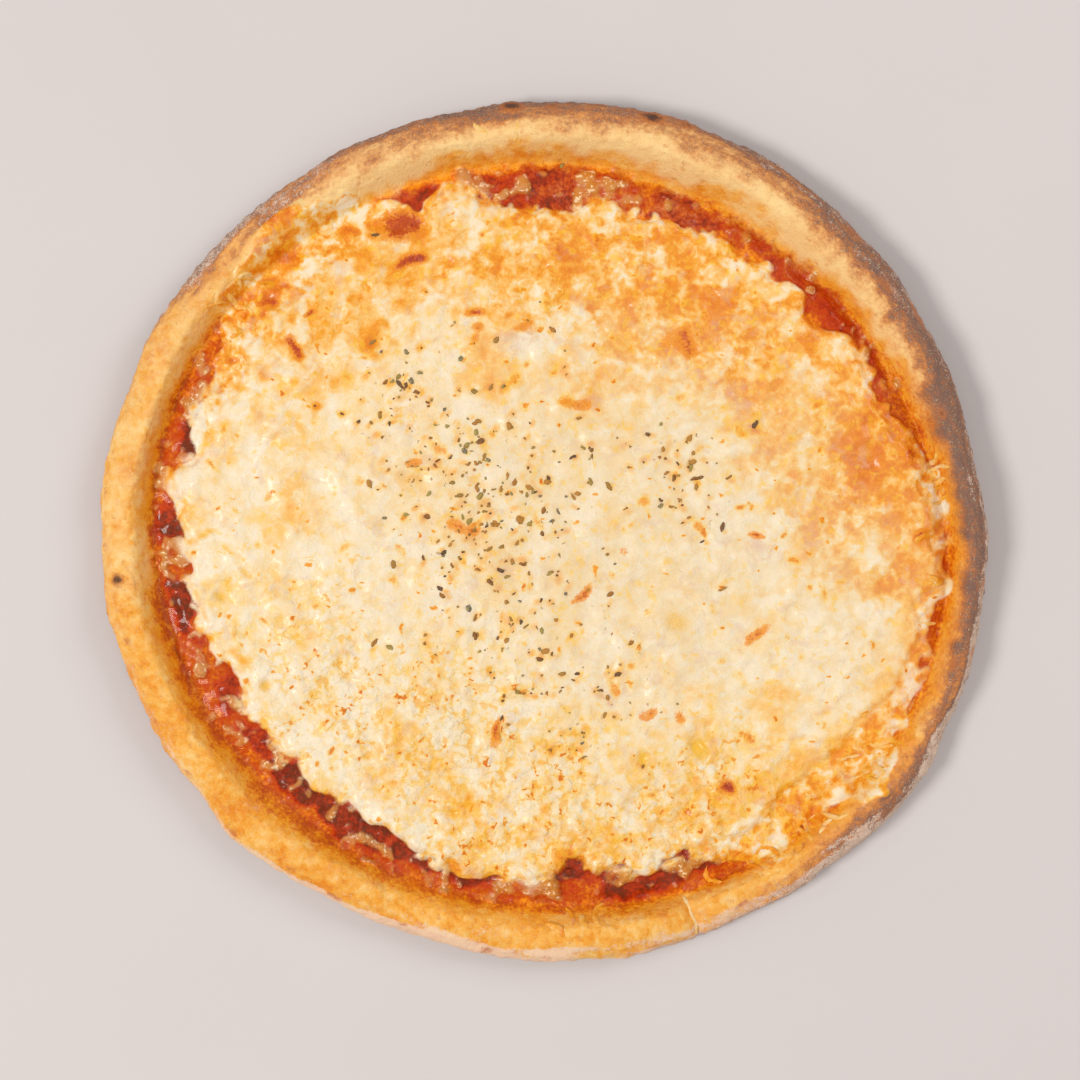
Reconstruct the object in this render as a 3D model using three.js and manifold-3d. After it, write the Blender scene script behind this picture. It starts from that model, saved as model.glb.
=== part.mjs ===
// Margherita pizza, whole and uncut: a baked dough base with a puffed rim, a layer of tomato sauce, and a sheet
// of melted grated cheese strewn with dried herbs. Loose cheese shreds lie melted on the rim and on the sauce.
//
// Units are millimetres and +Z is up. The pizza stands on z = 0 with the origin under the middle of its box.
// Angles are in degrees, counter-clockwise from +X, and every size that changes round the pizza is a base size
// with a few bulges and dents, each written as [angle, spread, amount].
import * as THREE from "three";
import { mergeVertices } from "three/addons/utils/BufferGeometryUtils.js";
import Module from "manifold-3d";

// ---- Driving dimensions ----

// The dough, seen from above and in section.
const OUTLINE = {
  base: 138,
  bulges: [
    [327, 18, 5.2], [354, 13, 2.6], [180, 28, 3.9], [146, 12, 1.2], [225, 5, 1.9], [250, 20, -2.6], [97, 18, -1.1],
  ],
};
const WELL_RADIUS = { base: 117.2, bulges: [[345, 34, 12.4], [170, 40, 7.9], [205, 20, 1.4], [295, 20, 4.3]] };
const CREST_HEIGHT = {
  base: 14,
  bulges: [
    [50, 42, 4], [5, 22, 2.4], [97, 24, 1.8], [245, 34, -1.8], [326, 16, 1.2], [131, 4, -1.6], [292, 3, -1.8],
  ],
};
const CREST_INSET = { base: 10.5, bulges: [[350, 34, -4], [58, 30, 1.5]] }; // from the outline in to the crest
const BASE_THICKNESS = 4.5;
const BELLY_SHARE = 0.42; // height of the widest point of the rim, as a share of the crest's height
const UNDERCUT = 5; // how far the flat underside stays inside the outline
const SLOPE_POWER = 1.35; // how sharply the inner slope of the rim leaves the flat base

// The layers on the dough.
const LAYER_GAP = 0.3;
const SAUCE_THICKNESS = 1.6;
const SAUCE_OVERLAP = 1.2; // how far the sauce laps up the inner slope of the rim
const SAUCE_EDGE = 3; // width of its rounded edge
const CHEESE_RADIUS = {
  base: 111.7,
  bulges: [
    [352, 30, 14.6], [90, 14, -8.9], [105, 5, 7.7], [112, 4, -7.8], [172, 6, 6.5],
    [185, 12, 4.5], [235, 16, -3.8], [266, 5, 2.8], [275, 4, -6.7], [303, 5, 4.5],
  ],
};
const CHEESE_THICKNESS = 2.7;
const CHEESE_EDGE = 4.5;
const CHEESE_INSET = 1.8; // the cheese ends at least this far inside the foot of the rim
const EDGE_WALL = 0.4; // height left standing at the very edge of a layer

// Waves that make a size uneven: [waves per turn, phase, amount].
const OUTLINE_WAVES = [[19, 1.3, 0.3], [31, 0.4, 0.2]];
const CREST_WAVES = [[9, 2, 0.5], [17, 0.6, 0.45], [26, 4.1, 0.3]];
// Puffs and hollows of the rim's outer side.
const SIDE_WAVES = [[21, 0.5, 0.45], [29, 3.3, 0.4], [37, 1.9, 0.3]];
const SIDE_TWIST = 2.5; // how far those waves shift, in radians, from the foot of the side to the crest
const CHEESE_EDGE_WAVES = [[13, 0.7, 0.8], [22, 2.9, 0.7], [37, 5.2, 0.6]];

// Rounded swellings (+) and dimples (-) of the cheese: [x, y, radius, height].
const CHEESE_SWELLINGS = [
  [40, -31, 10, 1.1], [22, -38, 6, 0.7], [-8, -60, 7, 0.6], [47, -68, 5, -0.6], [31, -72, 5, -0.6],
  [-86, -49, 4, -0.5], [-78, -19, 4, -0.5], [-60, 14, 16, 0.8], [35, 20, 22, 0.7], [-10, 62, 12, 0.6],
  [88, 40, 14, 0.7], [92, -38, 12, 0.8],
  [-45, -62, 14, 0.5], [62, 66, 14, 0.6], [-70, 60, 12, 0.6], [10, -95, 12, 0.6],
];

// Melted shreds of cheese. A patch of them is strewn between two angles, over the rim's inner slope and crest.
const SHRED = { width: 1.9, height: 1.5, sides: 5, rings: 4 };
const STREWN_SHRED = { length: [5.5, 11.5], turn: [35, 145], bend: [-1.5, 1.5], clearance: 0.6 };
const RIM_SHRED_PATCHES = [
  { from: 302, to: 341, count: 14 },
  { from: 116, to: 158, count: 13 },
  { from: 262, to: 284, count: 3 },
];
// Single shreds: [angle, radius, direction, length].
const LONE_RIM_SHREDS = [[94, 126, 94, 7], [290.5, 132, 286, 14]];
const SAUCE_SHREDS = [
  [92, 109.8, 40, 7], [88, 111.5, 150, 6], [75, 114, 60, 5], [242, 113.7, 150, 9], [239, 114.8, 20, 5],
];
const LONE_SHRED_BEND = 0.8;

// Dried herb flakes: clusters [x, y, spread, count], and the size of a flake.
const HERB_CLUSTERS = [
  [-6, -8, 24, 46], [44, 22, 11, 13], [-46, 40, 11, 10], [18, -50, 12, 11], [-22, 16, 16, 10],
];
const FLAKE = { length: 2.6, width: 1.5, height: 0.9, sides: 5, scale: [0.65, 1.35], tilt: [-0.25, 0.25] };
const FLAKE_SPACING = 3.2;

// How finely the solids are cut: distance between neighbouring points, and points round the rim.
const CHEESE_STEP = 6;
const RIM_POINTS = 120;
const COARSE_POINTS = 48;

const SEED = 29;

// ---- Sizes round the pizza ----

const radians = THREE.MathUtils.degToRad;

/** Signed angle from b to a, between -180 and 180. */
const apart = (a, b) => THREE.MathUtils.euclideanModulo(a - b + 180, 360) - 180;

/** The value at an angle of a size with bulges, made uneven by waves. */
function sizeAt({ base, bulges }, angle, waves = []) {
  let size = base + waveSum(waves, angle);
  for (const [at, spread, amount] of bulges) size += amount * Math.exp(-((apart(angle, at) / spread) ** 2));
  return size;
}

/** The sum of some waves at an angle, each shifted by a number of radians. */
const waveSum = (waves, angle, shift = 0) =>
  waves.reduce(
    (sum, [count, phase, amount]) => sum + amount * Math.sin(count * radians(angle) + phase + shift),
    0,
  );

const outlineRadius = (angle) => sizeAt(OUTLINE, angle, OUTLINE_WAVES);
const wellRadius = (angle) => sizeAt(WELL_RADIUS, angle);
const crestHeight = (angle) => sizeAt(CREST_HEIGHT, angle, CREST_WAVES);
const crestRadius = (angle) => outlineRadius(angle) - sizeAt(CREST_INSET, angle);
const sauceRadius = (angle) => wellRadius(angle) + SAUCE_OVERLAP;
const cheeseRadius = (angle) =>
  Math.min(sizeAt(CHEESE_RADIUS, angle, CHEESE_EDGE_WAVES), wellRadius(angle) - CHEESE_INSET);

// ---- Heights of the stacked surfaces, at radius r and an angle ----

/** Top of the dough, from its middle out to the crest of the rim. */
function doughTop(r, angle) {
  const well = wellRadius(angle);
  if (r <= well) return BASE_THICKNESS;
  const climb = Math.min(1, (r - well) / (crestRadius(angle) - well));
  const share = Math.sin((climb * Math.PI) / 2) ** SLOPE_POWER;
  return BASE_THICKNESS + (crestHeight(angle) - BASE_THICKNESS) * share;
}

/** Top of the dough out to the belly of the rim, past the crest too. */
function rimTop(r, angle) {
  const crest = crestRadius(angle);
  if (r <= crest) return doughTop(r, angle);
  const belly = BELLY_SHARE * crestHeight(angle);
  const out = Math.min(1, (r - crest) / (outlineRadius(angle) - crest));
  return belly + (crestHeight(angle) - belly) * Math.sqrt(1 - out ** 2);
}

/** Share of a layer's full thickness at a distance inside its edge, for an edge rounded over a width. */
function edgeShare(inside, width) {
  const t = THREE.MathUtils.clamp(inside / width, 0, 1);
  return Math.sqrt(1 - (1 - t) ** 2);
}

/** A layer's thickness at a distance inside its edge. */
const layerThickness = (thickness, inside, width) =>
  EDGE_WALL + (thickness - EDGE_WALL) * edgeShare(inside, width);

const sauceBottom = (r, angle) => doughTop(r, angle) + LAYER_GAP;
const sauceTop = (r, angle) =>
  sauceBottom(r, angle) + layerThickness(SAUCE_THICKNESS, sauceRadius(angle) - r, SAUCE_EDGE);

/** The cheese lies on the flat part of the sauce. */
const cheeseBottom = (r, angle) => sauceTop(r, angle) + LAYER_GAP;

/** Height of the cheese's swellings and dimples at a place. */
function cheeseSwelling(x, y) {
  let height = 0;
  for (const [sx, sy, radius, amount] of CHEESE_SWELLINGS)
    height += amount * Math.exp(-((x - sx) ** 2 + (y - sy) ** 2) / radius ** 2);
  return height;
}

function cheeseTop(r, angle) {
  const inside = cheeseRadius(angle) - r;
  const share = edgeShare(inside, CHEESE_EDGE);
  const swelling = cheeseSwelling(r * Math.cos(radians(angle)), r * Math.sin(radians(angle)));
  return cheeseBottom(r, angle) + layerThickness(CHEESE_THICKNESS, inside, CHEESE_EDGE) + swelling * share;
}

// ---- Solids from rings ----

/** Joins two rings of point numbers, evenly spaced round the axis, by a strip of triangles. */
function stitch(triangles, a, b) {
  let i = 0;
  let j = 0;
  while (i < a.length || j < b.length) {
    const stepA = j === b.length || (i < a.length && (i + 1) / a.length <= (j + 1) / b.length);
    if (stepA) {
      if (a.length > 1) triangles.push(a[i % a.length], a[(i + 1) % a.length], b[j % b.length]);
      i++;
    } else {
      if (b.length > 1) triangles.push(a[i % a.length], b[(j + 1) % b.length], b[j % b.length]);
      j++;
    }
  }
}

/** A closed surface through a row of rings { points, at(angle) -> [radius, z] }. A ring of one point is a pole. */
function ringSurface(rings) {
  const positions = [];
  const triangles = [];
  const numbers = rings.map(({ points, at }) =>
    Array.from({ length: points }, (_, i) => {
      const angle = (i / points) * 360;
      const [r, z] = at(angle);
      positions.push(r * Math.cos(radians(angle)), r * Math.sin(radians(angle)), z);
      return positions.length / 3 - 1;
    }),
  );
  for (let k = 1; k < numbers.length; k++) stitch(triangles, numbers[k - 1], numbers[k]);
  const geometry = new THREE.BufferGeometry();
  geometry.setAttribute("position", new THREE.Float32BufferAttribute(positions, 3));
  geometry.setIndex(triangles);
  return geometry;
}

const pole = (z) => ({ points: 1, at: () => [0, z] });

/** Evenly spaced numbers from first to last, both included. */
const steps = (first, last, count) =>
  Array.from({ length: count + 1 }, (_, i) => first + ((last - first) * i) / count);

/** The rim's outer side: its radius and height at a turn from -90 (underside) over 0 (belly) to 90 (crest). */
function outerSide(angle, turn) {
  const belly = BELLY_SHARE * crestHeight(angle);
  const reach = turn < 0 ? UNDERCUT : outlineRadius(angle) - crestRadius(angle);
  const rise = turn < 0 ? belly : crestHeight(angle) - belly;
  const cos = Math.cos(radians(turn));
  const sin = Math.sin(radians(turn));
  const puff = waveSum(SIDE_WAVES, angle, (SIDE_TWIST * turn) / 90) * Math.sin(radians(2 * turn));
  return [outlineRadius(angle) - reach * (1 - cos) + puff * cos, belly + rise * sin + Math.max(0, puff * sin)];
}

/** The dough: flat underside, round outer side, crest, inner slope and flat base of the well. */
function doughGeometry() {
  const rim = (at) => ({ points: RIM_POINTS, at });
  const underside = [pole(0), { points: COARSE_POINTS, at: (angle) => [wellRadius(angle) / 2, 0] }];
  const side = [-90, -60, -30, 0, 22, 45, 67, 90].map((turn) => rim((angle) => outerSide(angle, turn)));
  const innerSlope = steps(0.8, 0.2, 3).map((climb) =>
    rim((angle) => {
      const r = sauceRadius(angle) + (crestRadius(angle) - sauceRadius(angle)) * climb;
      return [r, doughTop(r, angle)];
    }),
  );
  const well = [
    rim((angle) => [sauceRadius(angle), doughTop(sauceRadius(angle), angle)]),
    rim((angle) => [wellRadius(angle), BASE_THICKNESS]),
    { points: COARSE_POINTS, at: (angle) => [wellRadius(angle) / 2, BASE_THICKNESS] },
    pole(BASE_THICKNESS),
  ];
  return ringSurface([...underside, ...side, ...innerSlope, ...well]);
}

/** A layer between two heights, out to an edge. Its rings lie some way inside the edge, or at a share of it. */
function layerGeometry({ edge, bottom, top, bottomInsets, topInsets, middleRings }) {
  const ring = (height, inset) => ({
    points: RIM_POINTS,
    at: (angle) => [edge(angle) - inset, height(edge(angle) - inset, angle)],
  });
  const scaled = (height, share, count) => ({
    points: count,
    at: (angle) => [edge(angle) * share, height(edge(angle) * share, angle)],
  });
  return ringSurface([
    pole(bottom(0, 0)),
    scaled(bottom, 0.5, COARSE_POINTS),
    ...bottomInsets.map((inset) => ring(bottom, inset)),
    ...topInsets.map((inset) => ring(top, inset)),
    ...middleRings.map(([share, count]) => scaled(top, share, count)),
    pole(top(0, 0)),
  ]);
}

function sauceGeometry() {
  return layerGeometry({
    edge: sauceRadius,
    bottom: sauceBottom,
    top: sauceTop,
    bottomInsets: [SAUCE_OVERLAP, 0],
    topInsets: [0, SAUCE_EDGE / 5, SAUCE_EDGE],
    middleRings: [[0.5, COARSE_POINTS]],
  });
}

/** The cheese: its top has rings a step apart, each cut into pieces about a step long. */
function cheeseGeometry() {
  const inset = CHEESE_EDGE + CHEESE_STEP / 2;
  const ringCount = Math.round((CHEESE_RADIUS.base - inset) / CHEESE_STEP);
  const reach = 1 - inset / CHEESE_RADIUS.base;
  const middleRings = steps(reach, reach / ringCount, ringCount - 1).map((share) => [
    share,
    Math.max(6, Math.round((2 * Math.PI * share * CHEESE_RADIUS.base) / CHEESE_STEP)),
  ]);
  return layerGeometry({
    edge: cheeseRadius,
    bottom: cheeseBottom,
    top: cheeseTop,
    bottomInsets: [0],
    topInsets: [0, CHEESE_EDGE / 5, CHEESE_EDGE],
    middleRings,
  });
}

// ---- Small pieces fused on ----

/** Park and Miller's random numbers from 0 to 1, the same on every run. */
function seededRandom(seed) {
  let state = seed;
  return () => {
    state = (state * 16807) % 2147483647;
    return state / 2147483647;
  };
}

const random = seededRandom(SEED);
const between = ([low, high]) => low + (high - low) * random();

/** A melted shred: a long ellipsoid, bent sideways and laid along a surface. Direction is in degrees from +X. */
function shredGeometry({ angle, radius, direction, length, bend }, surface) {
  const geometry = new THREE.SphereGeometry(1, SHRED.sides, SHRED.rings).rotateZ(Math.PI / 2);
  const position = geometry.getAttribute("position");
  const along = new THREE.Vector2(Math.cos(radians(direction)), Math.sin(radians(direction)));
  const across = new THREE.Vector2(-along.y, along.x);
  const middle = new THREE.Vector2(radius * Math.cos(radians(angle)), radius * Math.sin(radians(angle)));
  for (let i = 0; i < position.count; i++) {
    const x = (position.getX(i) * length) / 2;
    const y = (position.getY(i) * SHRED.width) / 2 + bend * position.getX(i) ** 2;
    const place = middle.clone().addScaledVector(along, x).addScaledVector(across, y);
    const ground = surface(place.length(), THREE.MathUtils.radToDeg(Math.atan2(place.y, place.x)));
    position.setXYZ(i, place.x, place.y, ground + (position.getZ(i) * SHRED.height) / 2);
  }
  return geometry;
}

/** A strewn shred at an angle, with its inner end clear of the sauce. */
function strewnShred(angle) {
  const length = between(STREWN_SHRED.length);
  const turn = between(STREWN_SHRED.turn);
  const bend = between(STREWN_SHRED.bend);
  const reach = (length / 2) * Math.abs(Math.cos(radians(turn))) + SHRED.width / 2 + Math.abs(bend);
  const innermost = sauceRadius(angle) + STREWN_SHRED.clearance + reach;
  const radius = between([innermost, Math.max(innermost, crestRadius(angle))]);
  return { angle, radius, direction: angle + turn, length, bend };
}

const patchShreds = ({ from, to, count }) =>
  Array.from({ length: count }, (_, i) => strewnShred(from + ((to - from) * (i + 0.5)) / count));

const loneShred = ([angle, radius, direction, length]) => {
  return { angle, radius, direction, length, bend: LONE_SHRED_BEND };
};

/** Places of the herb flakes: round each cluster's middle, thinning outwards, and never on top of each other. */
function flakePlaces() {
  const places = [];
  for (const [cx, cy, spread, count] of HERB_CLUSTERS)
    for (let found = 0; found < count; ) {
      const away = spread * Math.sqrt(-2 * Math.log(1 - random()));
      const way = random() * 2 * Math.PI;
      const place = new THREE.Vector2(cx + away * Math.cos(way), cy + away * Math.sin(way));
      if (places.some((other) => other.distanceTo(place) < FLAKE_SPACING)) continue;
      places.push(place);
      found++;
    }
  return places;
}

/** A herb flake: an uneven flat chip, slightly tilted and half sunk in the cheese. */
function flakeGeometry(place) {
  const scale = between(FLAKE.scale);
  const geometry = new THREE.CylinderGeometry(0.5, 0.5, FLAKE.height, FLAKE.sides);
  geometry.rotateX(Math.PI / 2);
  geometry.scale(FLAKE.length * scale, FLAKE.width * scale, 1);
  geometry.rotateX(between(FLAKE.tilt));
  geometry.rotateZ(random() * Math.PI);
  const ground = cheeseTop(place.length(), THREE.MathUtils.radToDeg(Math.atan2(place.y, place.x)));
  return geometry.translate(place.x, place.y, ground);
}

// ---- Fusing ----

const wasm = await Module();
wasm.setup();

function toSolid(geometry) {
  const bare = geometry.clone();
  bare.deleteAttribute("normal");
  bare.deleteAttribute("uv");
  const merged = mergeVertices(bare, 1e-4);
  return new wasm.Manifold(
    new wasm.Mesh({
      numProp: 3,
      vertProperties: merged.getAttribute("position").array,
      triVerts: new Uint32Array(merged.index.array),
    }),
  );
}

function toGeometry(solid) {
  const { vertProperties, triVerts } = solid.getMesh();
  const geometry = new THREE.BufferGeometry();
  geometry.setAttribute("position", new THREE.BufferAttribute(vertProperties, 3));
  geometry.setIndex(new THREE.BufferAttribute(triVerts, 1));
  geometry.computeVertexNormals();
  return geometry;
}

/** A body with small pieces fused to it. Scraps that touch nothing are dropped. */
function fused(body, pieces) {
  let solid = toSolid(body);
  for (const piece of pieces) solid = solid.add(toSolid(piece));
  const bodies = solid.decompose().sort((a, b) => b.volume() - a.volume());
  return toGeometry(bodies[0]);
}

// ---- The pizza ----

const FINISHES = {
  crust: { color: 0xe3a45c, roughness: 0.75, metalness: 0 },
  tomato_sauce: { color: 0xa3260f, roughness: 0.3, metalness: 0 },
  melted_cheese: { color: 0xf6dfae, roughness: 0.45, metalness: 0 },
};

function piece(name, geometry) {
  const mesh = new THREE.Mesh(geometry, new THREE.MeshStandardMaterial(FINISHES[name]));
  mesh.name = name;
  return mesh;
}

const rimShreds = [...RIM_SHRED_PATCHES.flatMap(patchShreds), ...LONE_RIM_SHREDS.map(loneShred)];
const sauceShreds = SAUCE_SHREDS.map(loneShred);

const pizza = new THREE.Group();
pizza.add(piece("crust", fused(doughGeometry(), rimShreds.map((shred) => shredGeometry(shred, rimTop)))));
const drownedShreds = sauceShreds.map((shred) => shredGeometry(shred, sauceTop));
pizza.add(piece("tomato_sauce", fused(sauceGeometry(), drownedShreds)));
pizza.add(piece("melted_cheese", fused(cheeseGeometry(), flakePlaces().map(flakeGeometry))));

// The outline's box is not quite centred on the angles' centre, so the pizza is moved to centre it.
const box = new THREE.Box3().setFromObject(pizza);
pizza.position.set(-(box.min.x + box.max.x) / 2, -(box.min.y + box.max.y) / 2, -box.min.z);

export default pizza;
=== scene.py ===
"""The looks of a whole margherita pizza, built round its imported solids.

Sizes are in millimetres until a mesh is made, and angles are in degrees, counter-clockwise from +X. The
forms of the dough, the sauce and the cheese repeat the formulas of the solids and add what is finer:
folds, melted shreds, blisters, oil, char, flour and herbs. A chart is a square map of the pizza from
above, one number for each cell.
"""

import math

import bpy
import numpy as np
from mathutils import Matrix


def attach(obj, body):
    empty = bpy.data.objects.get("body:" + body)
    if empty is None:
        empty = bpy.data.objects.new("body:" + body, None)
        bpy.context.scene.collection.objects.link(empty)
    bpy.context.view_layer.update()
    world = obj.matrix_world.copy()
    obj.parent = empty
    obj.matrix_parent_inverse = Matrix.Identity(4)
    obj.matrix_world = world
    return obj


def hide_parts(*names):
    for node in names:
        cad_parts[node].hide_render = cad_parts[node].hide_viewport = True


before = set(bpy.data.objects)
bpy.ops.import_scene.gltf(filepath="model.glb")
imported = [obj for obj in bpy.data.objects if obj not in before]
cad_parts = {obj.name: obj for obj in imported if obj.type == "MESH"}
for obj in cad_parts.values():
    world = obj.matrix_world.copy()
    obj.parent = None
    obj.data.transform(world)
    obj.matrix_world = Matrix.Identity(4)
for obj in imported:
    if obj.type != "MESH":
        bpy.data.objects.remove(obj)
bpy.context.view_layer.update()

MM = 0.001
BODY = "root"

# ---------------------------------------------------------------- driving dimensions, as in the solids

OUTLINE = [
    138, [327, 18, 5.2], [354, 13, 2.6], [180, 28, 3.9], [146, 12, 1.2], [225, 5, 1.9], [250, 20, -2.6],
    [97, 18, -1.1],
]
OUTLINE_WAVES = [[19, 1.3, 0.3], [31, 0.4, 0.2]]
WELL_RADIUS = [117.2, [345, 34, 12.4], [170, 40, 7.9], [205, 20, 1.4], [295, 20, 4.3]]
CREST_HEIGHT = [
    14, [50, 42, 4], [5, 22, 2.4], [97, 24, 1.8], [245, 34, -1.8], [326, 16, 1.2], [131, 4, -1.6],
    [292, 3, -1.8],
]
CREST_WAVES = [[9, 2, 0.5], [17, 0.6, 0.45], [26, 4.1, 0.3]]
CREST_INSET = [10.5, [350, 34, -4], [58, 30, 1.5]]
SIDE_WAVES = [[21, 0.5, 0.25], [29, 3.3, 0.2], [37, 1.9, 0.15]]
SIDE_TWIST = 2.5  # how far the side waves lean, in radians from the foot to the crest
CHEESE_RADIUS = [
    111.7, [352, 30, 14.6], [90, 14, -8.9], [105, 5, 7.7], [112, 4, -7.8], [172, 6, 6.5],
    [185, 12, 4.5], [235, 16, -3.8], [266, 5, 2.8], [275, 4, -6.7], [303, 5, 4.5],
]
CHEESE_EDGE_WAVES = [[13, 0.7, 0.8], [22, 2.9, 0.7], [37, 5.2, 0.6]]
CHEESE_SWELLINGS = [
    [40, -31, 10, 1.1], [22, -38, 6, 0.7], [-8, -60, 7, 0.6], [47, -68, 5, -0.6], [31, -72, 5, -0.6],
    [-86, -49, 4, -0.5], [-78, -19, 4, -0.5], [-60, 14, 16, 0.8], [35, 20, 22, 0.7], [-10, 62, 12, 0.6],
    [88, 40, 14, 0.7], [92, -38, 12, 0.8], [-45, -62, 14, 0.5], [62, 66, 14, 0.6], [-70, 60, 12, 0.6],
    [10, -95, 12, 0.6],
]
BASE_THICKNESS = 4.5
BELLY_SHARE = 0.42  # height of the widest point of the rim, as a share of the crest's height
UNDERCUT = 5  # how far the flat underside stays inside the outline
SLOPE_POWER = 1.35  # how sharply the inner slope of the rim leaves the flat base
LAYER_GAP = 0.3
SAUCE_OVERLAP = 1.2  # how far the sauce laps up the inner slope
CHEESE_THICKNESS = 2.7


# ---------------------------------------------------------------- numbers that change round the pizza


def bulge(angle, at, spread):
    """A smooth hump that is 1 at one angle and falls off over a spread."""
    apart = (angle - at + 180) % 360 - 180
    return np.exp(-((apart / spread) ** 2))


def size_at(size, angle, waves=()):
    """A size with bulges [angle, spread, amount], made uneven by waves [waves per turn, phase, amount]."""
    base, *bulges = size
    total = base + sum(amount * bulge(angle, at, spread) for at, spread, amount in bulges)
    return total + wave_sum(waves, angle)


def wave_sum(waves, angle, shift=0.0):
    """Waves [waves per turn, phase, amount] round the pizza, summed."""
    turn = np.radians(angle)
    return sum((amount * np.sin(count * turn + phase + shift) for count, phase, amount in waves), 0 * turn)


def share_between(value, low, high):
    """0 below low, 1 above high, and a smooth step between."""
    t = np.clip((value - low) / (high - low), 0, 1)
    return t * t * (3 - 2 * t)


def outline_radius(angle):
    return size_at(OUTLINE, angle, OUTLINE_WAVES)


def well_radius(angle):
    return size_at(WELL_RADIUS, angle)


def crest_height(angle):
    return size_at(CREST_HEIGHT, angle, CREST_WAVES)


def crest_radius(angle):
    return outline_radius(angle) - size_at(CREST_INSET, angle)


def sauce_radius(angle):
    return well_radius(angle) + SAUCE_OVERLAP


def cheese_radius(angle):
    return size_at(CHEESE_RADIUS, angle, CHEESE_EDGE_WAVES)


def dough_top(r, angle):
    """Height of the dough from its middle out to the crest of the rim, and past it down to the belly."""
    well, crest, height = well_radius(angle), crest_radius(angle), crest_height(angle)
    climb = np.clip((r - well) / (crest - well), 0, 1)
    inner = BASE_THICKNESS + (height - BASE_THICKNESS) * np.sin(climb * np.pi / 2) ** SLOPE_POWER
    belly = BELLY_SHARE * height
    out = np.clip((r - crest) / (outline_radius(angle) - crest), 0, 1)
    return np.where(r <= crest, inner, belly + (height - belly) * np.sqrt(1 - out**2))


def swelling(x, y):
    """Height of the cheese's large swellings and dimples."""
    return sum(
        amount * np.exp(-((x - sx) ** 2 + (y - sy) ** 2) / radius**2)
        for sx, sy, radius, amount in CHEESE_SWELLINGS
    )


def polar(x, y):
    """The radius and the angle of a place."""
    return np.hypot(x, y), np.degrees(np.arctan2(y, x))


def place_at(radius, angle):
    """The place at a radius and an angle."""
    turn = np.radians(angle)
    return radius * np.cos(turn), radius * np.sin(turn)


def turned(x, y, angle):
    """Offsets along and across a direction."""
    cos, sin = math.cos(math.radians(angle)), math.sin(math.radians(angle))
    return x * cos + y * sin, y * cos - x * sin


def outline_middle():
    """The middle of the outline's box, from the angles' centre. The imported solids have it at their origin."""
    angle = np.arange(0, 360, 3.0)
    x, y = place_at(outline_radius(angle), angle)
    return np.array([(x.min() + x.max()) / 2, (y.min() + y.max()) / 2, 0])


MIDDLE = outline_middle()


# ---------------------------------------------------------------- charts


CHART_HALF = 150  # half the width of a chart
CHART_CELLS = 1000  # cells along each side
CHART_STEP = 2 * CHART_HALF / CHART_CELLS
CHART_LINE = (np.arange(CHART_CELLS) + 0.5) * CHART_STEP - CHART_HALF
CHART_X, CHART_Y = np.meshgrid(CHART_LINE, CHART_LINE)
CHART_R, CHART_ANGLE = polar(CHART_X, CHART_Y)


def blurred(chart, size):
    """The chart smoothed over a distance."""
    frequency = np.fft.fftfreq(CHART_CELLS, CHART_STEP)
    fade = np.exp(-2 * (np.pi * size * frequency) ** 2)
    return np.fft.ifft2(np.fft.fft2(chart) * fade[:, None] * fade[None, :]).real


def random_chart(size, seed):
    """Smooth random hills of a size, with an average of 0 and a spread of 1."""
    chart = blurred(np.random.default_rng(seed).standard_normal((CHART_CELLS, CHART_CELLS)), size)
    return (chart - chart.mean()) / chart.std()


def read_chart(chart, x, y):
    """The chart's values at places, by linear blending."""
    column = np.clip((x + CHART_HALF) / CHART_STEP - 0.5, 0, CHART_CELLS - 1.001)
    row = np.clip((y + CHART_HALF) / CHART_STEP - 0.5, 0, CHART_CELLS - 1.001)
    c, r = np.int64(column), np.int64(row)
    u, v = column - c, row - r
    low = chart[r, c] * (1 - u) + chart[r, c + 1] * u
    high = chart[r + 1, c] * (1 - u) + chart[r + 1, c + 1] * u
    return low * (1 - v) + high * v


WARP_X, WARP_Y = random_chart(2.6, 101), random_chart(2.6, 102)
WIDE_WARP_X, WIDE_WARP_Y = random_chart(9, 103), random_chart(9, 104)


def chart_window(x, y, reach):
    """The cells of a chart within a distance of a place."""
    column, row = (int((value + CHART_HALF) / CHART_STEP) for value in (x, y))
    cells = int(reach / CHART_STEP) + 2
    return np.s_[max(0, row - cells) : max(0, row + cells), max(0, column - cells) : max(0, column + cells)]


def patches(marks, warp=1.6, wide_warp=0.0):
    """Soft uneven patches [x, y, reach along, reach across, turn, strength], with edges pushed about."""
    chart = np.zeros_like(CHART_X)
    x = CHART_X + warp * WARP_X + wide_warp * WIDE_WARP_X
    y = CHART_Y + warp * WARP_Y + wide_warp * WIDE_WARP_Y
    for mx, my, along, across, turn, strength in marks:
        near = chart_window(mx, my, 2 * max(along, across) + 4 * (warp + wide_warp))
        u, v = turned(x[near] - mx, y[near] - my, turn)
        out = (u / along) ** 2 + (v / across) ** 2
        chart[near] = np.maximum(chart[near], strength * np.exp(-(out**1.5)))
    return chart


def paint_shred(chart, x, y, length, width, height, turn, bend):
    """Lays one melted shred into a chart of heights: a bent ridge with a round top."""
    window = chart_window(x, y, length / 2 + width)
    u, v = turned(CHART_X[window] - x, CHART_Y[window] - y, math.degrees(turn))
    v += bend * u * u
    ridge = np.sqrt(np.clip(1 - (2 * u / length) ** 4 - (2 * v / width) ** 2, 0, 1))
    chart[window] = np.maximum(chart[window], height * ridge)


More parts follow.
